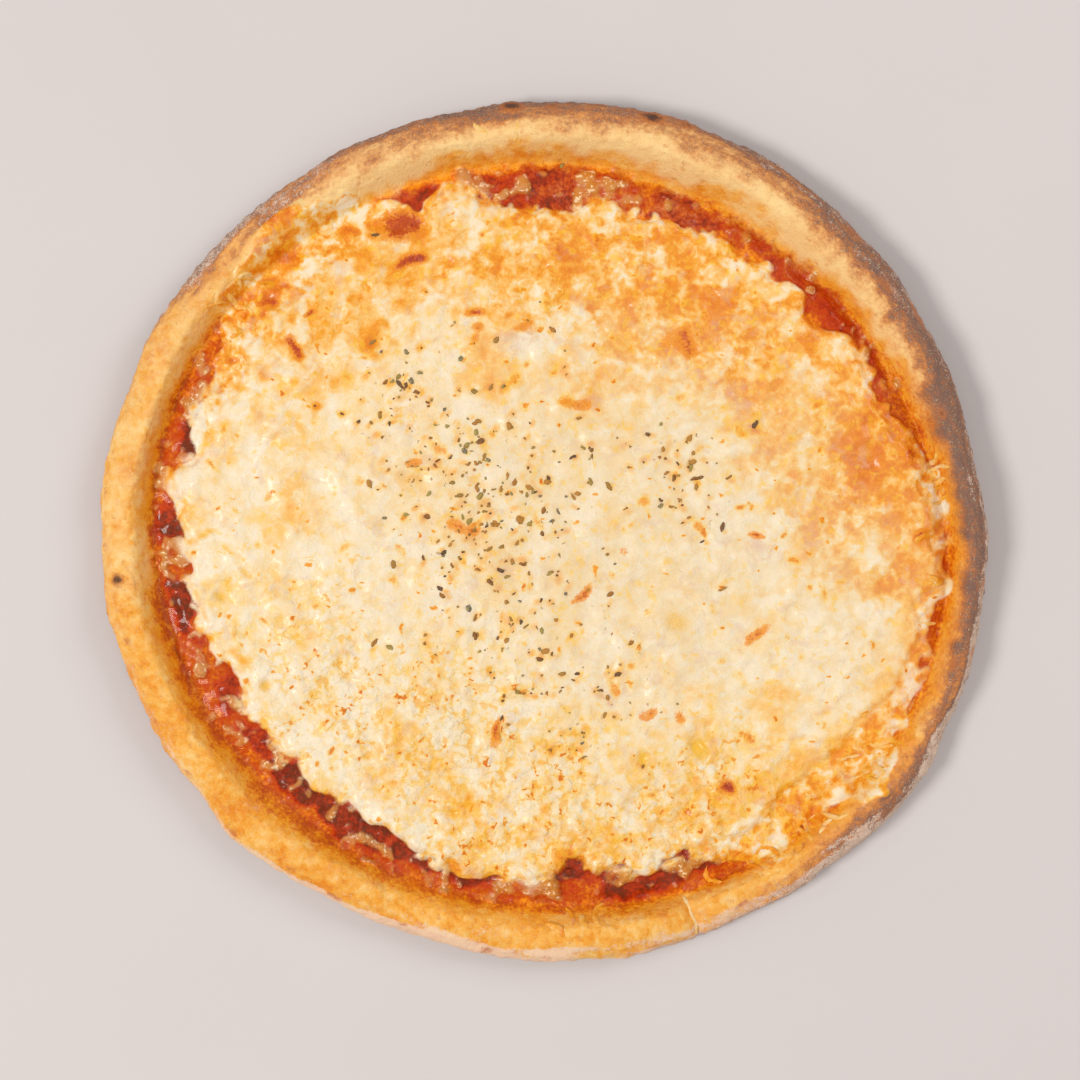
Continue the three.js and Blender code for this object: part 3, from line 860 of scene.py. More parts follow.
def build_crust(relief, charts):
    angle = np.arange(CRUST_COLUMNS) * 360 / CRUST_COLUMNS
    rings, sections = crust_section(angle)
    points, faces = closed_rings(rings)
    masks = {name: ring_masks(values) for name, values in crust_masks(angle, sections, rings, charts).items()}
    crust = make_mesh("crust_dough", points, faces, masks)
    settings = {"Lump Size": 7.0, "Lump Height": 0.6, "Blister Size": 3.4, "Blister Height": 0.5,
                "Grain Size": 1.5, "Grain Height": 0.3, "Seed": 3.0, "Material": crust_finish()}
    return baked(crust, relief, settings)


# ---------------------------------------------------------------- the layers' surfaces


# How far a thin film of cheese goes past the thick sheet, over the sauce and up the rim.
FILM_REACH = [0, [131, 17, 21], [157, 11, 6], [321, 15, 17], [302, 6, 7], [350, 16, 3], [12, 14, 2.5]]
FILM_THICKNESS = 0.8
CHEESE_CEILING = 18.2  # no cheese is higher than this, which is a little under the rim's highest crest
# How closely the lumps of the cheese's ragged fringe lie, how thick they are, and their reach past its edge.
FRINGE = [
    -0.1, [64, 10, -0.9], [35, 14, -0.6], [82, 8, 0.5], [103, 6, 0.7], [185, 8, 0.5], [158, 10, 0.3],
    [262, 8, -0.5], [232, 14, -0.4], [214, 10, 0.3], [192, 5, -0.6], [269, 4, 0.6], [290, 14, 0.4],
    [240, 4, 0.7], [112, 4, -0.5],
]
FRINGE_THICKNESS = 1.3
FRINGE_REACH = 3.5
# Where the visible edges lie beside those of the solids.
SAUCE_SHIFT = [-0.8, [188, 14, -1.2], [215, 14, -0.8], [66, 10, -1.5]]
CHEESE_SHIFT = [0, [64, 9, -4], [38, 10, -1]]
SHEET_ROUNDING = 5.5  # how far inside its edge the sheet reaches its full thickness
DIVE = 1.5  # how far below the ground an uncovered layer lies
LAYER_MARGIN = 2.5  # how far the layers' meshes go past the sauce's edge, out of sight under the dough's top
LAYER_DEPTH = 1.3  # how far their undersides lie below the dough's top
LAYER_CELLS = 300  # cells along each side of a layer's grid
# Where red sauce shows inside the rim: [first and last angle, inner and outer radius, depth of colour].
RED_ARCS = [
    [26, 43, 113, 119, 0.5], [44, 49, 112, 120, 0.65], [51, 60, 113.5, 117, 0.5],
    [60, 73, 108.5, 116, 0.95], [75, 85, 104, 115.5, 0.6], [85, 93, 104, 117, 0.95],
    [94, 101, 101, 115, 0.75], [108, 117, 105, 117, 0.9], [145, 150, 112, 119, 0.3],
    [163, 168, 113, 120, 0.9], [177, 181, 115, 124, 0.85], [187, 196, 115.5, 122, 0.9],
    [205, 209, 112, 117.5, 0.6], [213, 220, 110, 116.5, 0.65], [222, 243, 108.5, 116, 0.85],
    [245, 262, 108.5, 114.5, 0.8], [271, 278, 104, 111.5, 0.8], [279, 302, 110, 119, 0.75],
]
# Soft lumps of cheese in the sauce and on the rim: [x, y, reach along, reach across, turn, height].
SOFT_LUMPS = [
    [-123, 20, 6, 2.5, 80, 0.9], [-121, -7, 5, 3, 80, 1.0], [-111, -41, 6, 3.5, 110, 1.1],
    [-96, -65, 4, 3, 0, 1.1], [-86, -72, 6, 3, 120, 1.1], [-57, -100, 7, 2.8, -35, 1.1],
    [-86, -90, 5, 4, 0, 0.7], [-34, -112, 5, 3.5, 0, 1.1], [27, -108, 6, 4, 0, 1.5],
    [44, -104, 7, 4, 20, 1.3], [-6, 109, 4, 4, 0, 1.2], [-12, 101, 8, 3, 0, 0.9], [13, 111, 5, 4, 0, 1.2],
    [21, 111, 4, 3, 30, 1.2], [24, 118, 6, 2.5, 0, 0.9], [-27, 109, 10, 7, 15, 1.3],
    [-4, -112, 10, 5, 0, 1.2], [-100, 66, 5, 4, 40, 1.2], [-108, 52, 5, 4, 60, 1.2],
    [-114, 38, 5, 4, 70, 1.1], [-100, -55, 4, 3, 0, 1.2], [0, -107, 5, 4, 0, 1.2], [17, -106, 4, 3, 0, 1.2],
    [52, -101, 5, 4, 30, 1.2], [-30, -108, 4, 3, 0, 0.9], [-70, -88, 4, 3, 30, 0.9],
    [76, 78, 4, 3, -45, 0.8], [40, 104, 4, 3, -20, 0.9],
]
# Clusters of shreds that lie in the sauce: [x, y, spread, count].
SAUCE_SHREDS = [
    [-58.6, -100.6, 5, 9], [-109, 46.7, 4, 6], [24.8, -105, 5, 8], [43.5, -107, 4, 6], [13, 109.8, 4, 5],
    [26, 108, 4, 6], [-23, 105, 5, 6], [-6.4, 109, 3, 5], [-100, -60, 4, 7], [-112, -33, 4, 5],
    [-117, -9, 3, 5], [-66, -83, 4, 5], [-100, 75, 3, 4], [60, 98, 3, 4], [98, 62, 3, 4], [-85, -72, 4, 5],
    [0, -107, 4, 6], [-36, -101, 4, 4], [-20, 103, 4, 5], [-112, 20, 3, 3], [106, 46, 3, 4],
]
# Curd-like pits with a yellow floor: [x, y, reach along, reach across, turn, depth].
YELLOW_PITS = [
    [48.6, -69, 2.8, 4.2, 15, 1.0], [31.4, -72, 2.2, 3.0, 0, 0.9], [-103, -20, 2.2, 2.0, 0, 0.7],
    [-88.6, -48.5, 2.4, 2.2, 0, 0.8], [-73, -52, 2.6, 2.6, 0, 0.6], [-84, -28, 3, 2.6, 0, 0.5],
    [-96, -44, 2, 2, 0, 0.45], [41, -28, 5, 3.6, -30, 0.6], [-20, 40, 1.5, 1.5, 0, 0.4],
    [-96, -32, 1.6, 2.4, 40, 0.5], [-3, -65, 4, 4, 0, 0.35], [24, 60, 5, 3, 0, 0.35],
    [-108, -1, 2.6, 1.2, -40, 0.6], [-95, -13, 2.6, 1.2, -40, 0.6],
]
# Pale strands where the cheese was pulled: [x, y, reach along, reach across, turn, strength].
PALE_STRANDS = [
    [-9.7, -42.8, 10, 1.5, -42, 1.0], [-28.4, -19.9, 5, 1.3, -45, 1.0], [51.5, -25, 8, 1.3, -65, 1.0],
    [46.5, -17, 6, 1.3, -35, 0.9], [27.8, -33.8, 3, 1.2, -20, 0.8], [7, -38.6, 2.4, 1.5, -40, 0.9],
    [22, -27, 4, 1.2, 30, 0.7], [33, -36, 4, 1.3, 15, 0.8], [104, -31, 10, 1.5, 80, 0.8],
    [84, -31, 14, 1.8, 80, 0.6], [65, -14, 8, 1.2, -75, 0.7], [-50, -6, 12, 1.4, 70, 0.7],
    [-64, 22, 10, 1.6, 55, 0.6], [-88, 30, 9, 1.4, 60, 0.7], [-20, 20, 9, 1.4, -60, 0.6],
    [3, 12, 8, 1.3, 75, 0.5], [70, 16, 9, 1.4, 30, 0.7], [44, 34, 7, 1.4, 50, 0.7],
    [26, 52, 8, 1.6, -15, 0.7], [58, 58, 7, 1.5, -40, 0.7], [88, 44, 7, 1.5, -60, 0.7],
    [96, -46, 9, 1.6, 60, 0.8], [74, -70, 8, 1.6, 40, 0.7], [-40, 72, 8, 1.5, 20, 0.7],
    [-74, 50, 8, 1.5, 45, 0.7], [-96, -14, 7, 1.3, -50, 0.6],
]
STRAND_HEIGHT = 0.6
# Zones of the cheese, in the numbers of patches: granular curds, a smooth middle and a quiet left side.
GRANULAR_ZONE = [[-45, -62, 66, 40, -35, 1.0], [10, -92, 66, 28, 5, 1.0]]
MIDDLE_ZONE = [[0, 10, 60, 48, 10, 1.0]]
LEFT_ZONE = [[-78, 5, 36, 60, 0, 1.0]]
# Melted shreds strewn over each zone: count and spans of length, width and height.
STREWN_SHREDS = {
    "loose": (2300, (5, 13), (1.5, 2.8), (0.35, 1.1)),
    "granular": (2600, (1.6, 4.6), (1.3, 2.4), (0.4, 0.95)),
    "middle": (260, (8, 20), (2.0, 4.0), (0.25, 0.6)),
    "folded": (420, (4, 14), (1.8, 3.6), (0.8, 1.9)),
}
FIRST_SHRED_SEED = 11


def near(rng, x, y, spread):
    """A random place near another."""
    return [x + rng.normal(0, spread * 0.6), y + rng.normal(0, spread * 0.6)]


def red_ring():
    """How red the ring inside the rim is. It is 0 where only oil has soaked in."""
    r = CHART_R + 0.9 * random_chart(1.5, 47)
    angle = CHART_ANGLE + 1.1 * random_chart(2.5, 48)
    red = np.zeros_like(r)
    for first, last, inner, outer, depth in RED_ARCS:
        along = around(angle, (first + last) / 2, (last - first) / 2 - 0.5, 2)
        across = share_between(r, inner - 5, inner - 2) * (1 - share_between(r, outer - 1.5, outer + 1))
        red = np.maximum(red, depth * along * across)
    return red


def sauce_heights(r, angle):
    """The sauce's top over the dough. Past its edge it dives out of sight."""
    inside = sauce_radius(angle) + size_at(SAUCE_SHIFT, angle) + 0.7 * random_chart(2.4, 41) - r
    pulp = random_chart(1.2, 43) * 0.5 + random_chart(2.4, 44) * 0.5
    body = 2.2 * share_between(inside, -3, 7) - 0.8 - DIVE * share_between(-inside, 1, 3.5)
    return body + 0.4 * pulp * share_between(inside, 0, 3)


def cheese_zones(inside, film_inside):
    """Shares of granular, middle, left, loose and folded cheese."""
    middle, left = patches(MIDDLE_ZONE, 3, 4), patches(LEFT_ZONE, 3, 4)
    granular = np.clip(np.clip(patches(GRANULAR_ZONE, 3, 4), 0, 1) - 0.5 * middle, 0, 1)
    return {
        "middle": middle, "left": left, "granular": granular,
        "loose": np.clip(1 - granular - 0.9 * middle - 0.5 * left, 0.06, 1),
        "folded": share_between(film_inside, -1, 2) * share_between(-inside, -6, 2),
    }


def strewn_shreds(zones, film_inside):
    """Heights of the shreds strewn over the cheese, most of each kind in its own zone."""
    shreds = np.zeros_like(CHART_X)
    covered = film_inside > -0.5
    for seed, (name, (count, *spans)) in enumerate(STREWN_SHREDS.items(), FIRST_SHRED_SEED):
        where = zones[name] if name == "folded" else covered * zones[name]
        paint_shreds(shreds, count, where, *spans, seed)
    return blurred(shreds, 0.5)


def pit_relief():
    """Pits with a raised lip."""
    relief = np.zeros_like(CHART_X)
    for x, y, along, across, turn, depth in YELLOW_PITS:
        u, v = turned(CHART_X - x, CHART_Y - y, turn)
        out = np.hypot(u / along, v / across)
        relief += depth * (0.35 * np.exp(-(((out - 1.35) / 0.4) ** 2)) - 0.8 * np.exp(-(out**4)))
    return relief


def drowned_shreds(inner):
    """Heights of the shreds and lumps that lie in the sauce."""
    chart = np.full_like(CHART_X, -DIVE)
    rng = np.random.default_rng(17)
    for x, y, spread, count in SAUCE_SHREDS:
        for _ in range(count):
            place = near(rng, x, y, spread)
            size = rng.uniform(3, 6), rng.uniform(1.6, 2.6), rng.uniform(0.3, 0.9)
            paint_shred(chart, *place, *size, rng.uniform(0, np.pi), rng.uniform(-0.12, 0.12))
    lumps = (patches(SOFT_LUMPS, 1.0, 0.6) - 0.4) * 1.6
    chart = np.maximum(blurred(chart, 0.45), lumps) + 0.55 * random_chart(1.0, 51)
    return (chart + DIVE) * inner - DIVE


def surface_charts():
    """The tops of the sauce and the cheese, and the zones and reliefs that colour them."""
    r, angle = CHART_R, CHART_ANGLE % 360
    dough, sauce = dough_top(r, angle), sauce_heights(r, angle)
    reach = size_at(FILM_REACH, angle)
    ragged = random_chart(2.6, 45) + 0.7 * random_chart(1.3, 46)
    inside = cheese_radius(angle) + size_at(CHEESE_SHIFT, angle) + ragged - r
    film_inside = inside + reach
    inner = share_between(sauce_radius(angle) + LAYER_MARGIN - r, 0.5, 3)
    sheet = (CHEESE_THICKNESS + DIVE) * share_between(inside, -3, SHEET_ROUNDING) - DIVE
    film = (FILM_THICKNESS + DIVE) * share_between(film_inside, -2.5, 4) * share_between(reach, 0.5, 2) - DIVE
    lumps = 0.8 * random_chart(1.3, 49) + 0.6 * random_chart(2.6, 50) + size_at(FRINGE, angle)
    lumps = share_between(lumps + inside / FRINGE_REACH, -0.6, 1.4)
    fringe = (FRINGE_THICKNESS + DIVE) * lumps * inner - DIVE
    drowned = drowned_shreds(inner)
    thickness = np.maximum.reduce([sheet, film, fringe, drowned])

    zones = cheese_zones(inside, film_inside)
    shreds, strands = strewn_shreds(zones, film_inside), patches(PALE_STRANDS, 0.6)
    melt = 0.2 + 0.45 * zones["granular"] + 0.3 * zones["loose"] + 0.5 * zones["folded"]
    relief = (shreds - blurred(shreds, 3)) * melt + 0.25 * random_chart(5, 15) + 0.12 * random_chart(2, 16)
    relief += pit_relief() + STRAND_HEIGHT * strands
    relief += swelling(CHART_X, CHART_Y) * share_between(inside, 0, 4)
    relief *= share_between(np.maximum(thickness, 0), 0, 1.6)
    cheese = dough + LAYER_GAP + np.maximum(0, sauce) + thickness + relief
    hills = 0.7 * random_chart(3.5, 54) + 0.7 * random_chart(1.5, 55)
    return {
        **zones, **rim_shades(rim_sections(r, angle), angle, hills),
        "floor": dough - LAYER_DEPTH,
        "sauce": dough + LAYER_GAP + sauce,
        "cheese": np.minimum(cheese, CHEESE_CEILING),
        "hills": hills, "ring red": red_ring(), "strand": strands, "shreds": shreds,
        "crevice": np.clip((blurred(shreds, 1.3) - shreds) / 0.25, 0, 1),
        "lump": share_between(-inside, -2.5, 0.5) * share_between(-film_inside, -1, 1),
        "cover": np.maximum.reduce([
            share_between(thickness, 0.05, 1.9), 0.85 * share_between(film, -0.1, 0.7),
            0.55 * share_between(np.maximum(drowned, fringe), 0, 0.8),
        ]),
    }


FLOOR_SHARES = (1.0, 0.97, 0.94, 0.9, 0.84, 0.7, 0.4)  # rings of a layer's underside, as shares of its radius
FINER_EDGE = 0.4  # how much closer together a layer's points lie at its border than on average


def layer_mesh(name, limit, top, floor, masks):
    """A layer as a closed disc: its top read from a chart out to a limit, its underside from another chart."""
    share, angle, quads, border = disc_grid(LAYER_CELLS)
    share = share * (1 + FINER_EDGE - FINER_EDGE * share)
    x, y = place_at(share * limit(angle), angle)
    points = [np.stack([x, y, read_chart(top, x, y)], -1)]
    masks = {mask: [read_chart(chart, x, y)] for mask, chart in masks.items()}
    rings = [border]
    first, count = len(x), len(border)
    for ring in FLOOR_SHARES:
        rx, ry = x[border] * ring, y[border] * ring
        points.append(np.stack([rx, ry, read_chart(floor, rx, ry)], -1))
        rings.append(np.arange(first, first + count))
        first += count
    points.append(np.array([[0, 0, read_chart(floor, 0.0, 0.0)]]))
    for values in masks.values():
        values += [np.tile(values[0][border], len(FLOOR_SHARES)), values[0][:1] * 0]
    faces = quads
    for upper, lower in zip(rings, rings[1:]):
        after_upper, after_lower = np.roll(upper, -1), np.roll(lower, -1)
        faces = faces + np.stack([lower, after_lower, after_upper, upper], -1).tolist()
    faces = faces + [[first, int(b), int(a)] for a, b in zip(rings[-1], np.roll(rings[-1], -1))]
    return make_mesh(name, np.vstack(points), faces, {mask: np.concatenate(v) for mask, v in masks.items()})


# ---------------------------------------------------------------- the sauce


def sauce_finish():
    paint = Paint("tomato sauce")
    middle = paint.noise(4, 4, 0.6)
    fine = paint.noise(1.2, 3, 0.6)
    pulp = paint.noise(2.2, 3, 0.6, paint.pushed(3, 1.5))
    grain = paint.noise(0.5, 1)
    colour, soaked, wet = rim_colour(paint, middle, fine)
    roughness = 0.58 - soaked * 0.25 + (fine - 0.5) * 0.3
    relief = pulp * 0.4 + fine * 0.5 + grain * 0.25
    coat = {"Coat_Weight": wet, "Coat_Roughness": 0.07}
    return paint.finish(colour, roughness, relief, 1.0, **coat, Specular_IOR_Level=0.1)


def build_sauce(charts):
    def limit(angle):
        return sauce_radius(angle) + LAYER_MARGIN

    masks = {name: charts[name] for name in RIM_MASKS}
    piece = layer_mesh("sauce_layer", limit, charts["sauce"], charts["floor"], masks)
    piece.data.materials.append(sauce_finish())
    return piece


# ---------------------------------------------------------------- the cheese


# Colours of the cheese from milky through golden to the red oil.
CHEESE_TONES = [
    (0.0, (0.89, 0.76, 0.56)), (0.16, (0.9, 0.68, 0.38)), (0.32, (0.91, 0.53, 0.15)),
    (0.5, (0.88, 0.36, 0.02)), (0.72, (0.78, 0.21, 0.004)), (1.0, (0.5, 0.06, 0.002)),
]
# Orange, oily patches of the cheese: [x, y, reach along, reach across, turn, strength].
OILY_PATCHES = [
    [0, 84, 44, 15, 0, 0.42], [40, 76, 36, 24, -30, 0.55], [72, 50, 36, 26, -50, 0.6],
    [102, 24, 26, 16, -75, 0.95], [88, -2, 13, 12, 0, 0.4], [116, -12, 22, 8, -85, 0.6],
    [110, -42, 14, 8, 70, 0.5], [78, -70, 24, 12, 45, 0.3], [-50, 88, 22, 14, 25, 0.5],
    [-78, 62, 16, 12, 45, 0.35], [-25, 87, 9, 5, 10, 0.95], [10, 84, 13, 8, 0, 0.8],
    [31, 74, 11, 8, 0, 0.6], [-55, 63, 10, 3.5, 12, 0.85], [-17, 49, 12, 8, -50, 0.65],
    [-14, 44, 8, 6, 0, 0.5], [18, 43, 8, 5, 0, 0.5], [-75, 4, 12, 9, 30, 0.35], [5, -100, 30, 10, 0, 0.35],
    [-35, -80, 26, 10, -25, 0.3], [40, -90, 14, 8, 20, 0.35], [72, -54, 9, 6, 0, 0.55],
    [48, -52, 7, 5, 0, 0.4], [67, 92, 10, 6, -35, 0.6], [-52, 91, 9, 5, 10, 0.6],
    [-68, 64, 26, 18, 40, 0.22], [-92, 89, 28, 8, 43, 0.85], [-81, 79, 28, 8, 45, 0.65],
    [92, -80, 22, 10, 50, 0.6], [60, -86, 20, 12, 20, 0.3], [44, -78, 28, 16, 10, 0.3],
    [88, -74, 16, 10, 40, 0.6], [-110, -6, 3, 2, 0, 0.5], [-95, -36, 2, 4, 0, 0.6], [-25, 70, 5, 5, 0, 0.6],
    [88, 55, 10, 8, -40, 0.5],
]
# Round spots of orange oil, in the same numbers. Small ones are strewn besides.
ORANGE_SPOTS = [
    [-32, 26, 2.8, 2.4, 0, 0.9], [30, 10, 2.8, 1.8, 30, 0.9], [47.5, 0.5, 1.6, 3.2, 10, 1.0],
    [27.5, -44, 2.2, 2.2, 0, 0.9], [31, -36.5, 1.7, 1.5, 0, 0.9], [7, 42, 2.2, 3.4, 0, 0.8],
    [-3, 4, 1.4, 2.6, 0, 0.7], [-21.5, 5.5, 2.0, 2.2, 0, 0.8], [40, 18.5, 2.0, 2.2, 0, 0.8],
    [22, -47, 2.4, 2.2, 0, 0.5], [62, -46, 2.0, 3.4, 0, 0.5], [78, -34, 1.4, 2.6, 0, 0.7],
    [53, -24, 1.6, 3, 0, 0.6], [88, -18, 1.6, 3.6, 0, 0.8], [64, -64, 3.2, 2.4, 0, 0.7],
    [57, -40, 1.6, 1.4, 0, 0.8], [-58, 56, 3, 1.2, 20, 0.8], [-63, -4, 2.6, 1.6, 40, 0.7],
    [-70, -14, 2.6, 1.2, 30, 0.7], [-102, 32, 2.4, 1.2, -60, 0.8], [-104, 22, 3, 1.2, -30, 0.8],
    [-98, 6, 2.4, 1.0, -40, 0.8], [-88, -28, 2.6, 1.1, -40, 0.9], [-60, -38, 1.8, 1.2, 0, 0.6],
    [-98, -30, 1.6, 4, 10, 0.6], [-16, -63, 1.6, 5, 8, 0.8], [-27, -57, 2.4, 0.9, 60, 0.7],
    [0, 72, 2, 2, 0, 0.7], [-10, 48, 3, 1.8, 40, 0.9], [44, 44, 2.4, 2.0, 0, 0.8],
    [62, 34, 2.2, 1.6, 0, 0.7], [78, 30, 2.2, 2.0, 0, 0.7],
]
SPOT_COUNT = 240
SPOT_FIELD = 105  # how far from the middle the strewn spots go, along x and y
# Warmer cheese along the upper right and the upper left edge, and along the lower edge.
UPPER_ZONE = [[35, 78, 80, 38, -20, 1.0], [104, 22, 34, 42, 0, 1.0], [-70, 70, 40, 20, 42, 0.6]]
LOWER_ZONE = [[20, -92, 70, 26, 5, 1.0]]
DULL_ZONE = [[22, -6, 70, 60, 10, 1.0], [84, -14, 36, 44, 0, 0.7]]
# Thin places where the sauce shows through as a pink shade.
THIN_PATCHES = [
    [-9, 60, 10, 6, 40, 0.8], [60, 43, 14, 8, -20, 0.7], [80, 30, 9, 6, 30, 0.6], [18, -18, 6, 4, 0, 0.7],
    [21, -49, 7, 6, 0, 0.8], [-47, 42, 8, 5, 20, 0.6], [47, 49, 8, 5, 0, 0.6], [68, -7, 10, 3.5, -25, 0.8],
    [-36, 60, 8, 5, 0, 0.5], [86, -3, 6, 5, 0, 0.5], [90, -58, 6, 5, 0, 0.5], [-20, 38, 7, 5, 0, 0.6],
    [-110, 22, 5, 4, 0, 0.6], [-60, 24, 7, 4, 30, 0.5], [38, 62, 6, 5, 0, 0.5], [70, 70, 5, 4, 0, 0.5],
    [-44, 40, 14, 9, -30, 0.45], [-30, 8, 13, 12, 0, 0.4], [46, 26, 12, 9, 0, 0.4], [-14, 28, 9, 6, 0, 0.4],
]
# Small spots of bare sauce and red oil.
RED_SPOTS = [
    [57, -80, 3.2, 2.6, 0, 1.0], [67, -2, 3.4, 1.6, -20, 0.9], [116, 25, 2.2, 3.2, 0, 0.8],
    [120, -2, 2, 3, 0, 0.7], [-79, 60, 2.6, 2.0, 0, 1.0], [-73, 69, 1.6, 1.6, 0, 0.9],
    [43, 60, 4, 3, 0, 0.7], [10, 41, 4, 2.6, 0, 0.55], [-42, 22, 3, 2, 0, 0.6], [-24, 3, 4, 2.5, 30, 0.6],
    [-42, 86, 4, 3, 0, 1.0], [-46, 98, 6, 5, 0, 0.9], [-16, -62, 1.6, 5, 8, 0.8],
    [43, -60, 2.2, 2.0, 0, 0.7], [30, -56, 2.4, 2.2, 0, 0.6], [68, -33, 2.6, 2.4, 0, 0.6],
    [24, -6, 2.6, 1.8, 0, 0.5], [-22, 62, 3, 2, 0, 0.6], [83, 60, 3.5, 2.5, -40, 0.5],
    [-6, 66, 3, 2, 0, 0.4], [-24, 70, 2.2, 1.8, 0, 0.8], [12, -20, 2.4, 1.6, 0, 0.7],
    [63, 58, 3, 2, 0, 0.5], [70, 90, 3, 2, 0, 0.5],
]


def cheese_colours(charts):
    """The cheese's masks: how warm its colour is, and where it is mottled, curdled, thin, red or pitted."""
    granular, folded = charts["granular"], charts["folded"]
    upper, lower = patches(UPPER_ZONE, 2, 5), patches(LOWER_ZONE, 2, 5)
    warmth = 0.07 + 0.14 * upper + 0.06 * lower + 0.05 * random_chart(4, 61)
    warmth += 0.45 * patches(OILY_PATCHES, 2.2, 1.4)
    halos = [
        [x, y, 1.3 + tone, 1.1, 40 * turn, 0.5 * (1 - tone)]
        for (x, y), (turn, *_, tone) in zip(*herb_numbers())
    ]
    warmth += patches(halos, 0.8) + 0.3 * folded
    warmth -= (0.04 * upper + 0.2 * folded + 0.06) * (charts["shreds"] - 0.6)
    rng = np.random.default_rng(91)
    sizes = ((1.0, 2.4), (0.9, 1.6), (0, 180), (0.3, 0.9))
    spots = ORANGE_SPOTS + [
        [*rng.uniform(-SPOT_FIELD, SPOT_FIELD, 2), *(rng.uniform(*span) for span in sizes)]
        for _ in range(SPOT_COUNT)
    ]
    return {
        "warmth": warmth,
        "spot": patches(spots, 1.0),
        "mottle": 0.5 + 0.8 * upper + 0.3 * lower + 0.9 * folded,
        "curd": np.clip(granular + 0.35 * lower + 0.1 * charts["left"], 0, 1),
        "crevice": charts["crevice"] * (0.3 + 0.5 * granular + 0.5 * folded + 0.3 * upper),
        "thin": patches(THIN_PATCHES, 1.5, 0.8),
        "red": patches(RED_SPOTS, 1.4),
        "herb": patches([[x, y, 1.2 * spread, 1.2 * spread, 0, 1] for x, y, spread, _ in HERB_CLUSTERS[:-1]]),
        "pit": patches(YELLOW_PITS, 0.4),
        "dull": patches(DULL_ZONE, 3, 5),
        **{name: charts[name] for name in ("strand", "lump", "cover", *RIM_MASKS)},
    }


def orange_marks(paint, curd, blotch, fine, far):
    """Spots, streaks and fine lines of orange oil, most of them in the gaps between the curds."""
    open_gap = paint.noise(5, 2, 0.5, paint.pushed(3, 2)).step(0.46, 0.6)
    gaps = far.step(0.36, 0.62) * open_gap * curd * 0.72
    across = paint.noise(5.5, 2, 0.5, paint.pushed(3, 1.8)) - 0.5
    broken = paint.noise(3.4, 1).step(0.54, 0.62) * blotch.step(0.42, 0.56)
    streaks = (1 - (across * across).step(0.0004, 0.005)) * broken * (curd * 0.5 + 0.5)
    small = paint.flecks(3.4, 0.26, 0.2, paint.vector("MULTIPLY", paint.pushed(2.4, 1.6), (0.6, 1, 1)))
    large = paint.flecks(5.5, 0.24, 0.2, paint.vector("MULTIPLY", paint.pushed(2.6, 1.8), (1, 0.6, 1)))
    spot = paint.mask("spot")
    spots = (spot + (blotch - 0.5) * 1.1 + (fine - 0.5) * 0.5).step(0.1, 0.9) * spot.step(0.02, 0.25) * 0.9
    return gaps.at_least(streaks).at_least(small).at_least(large).at_least(spots)


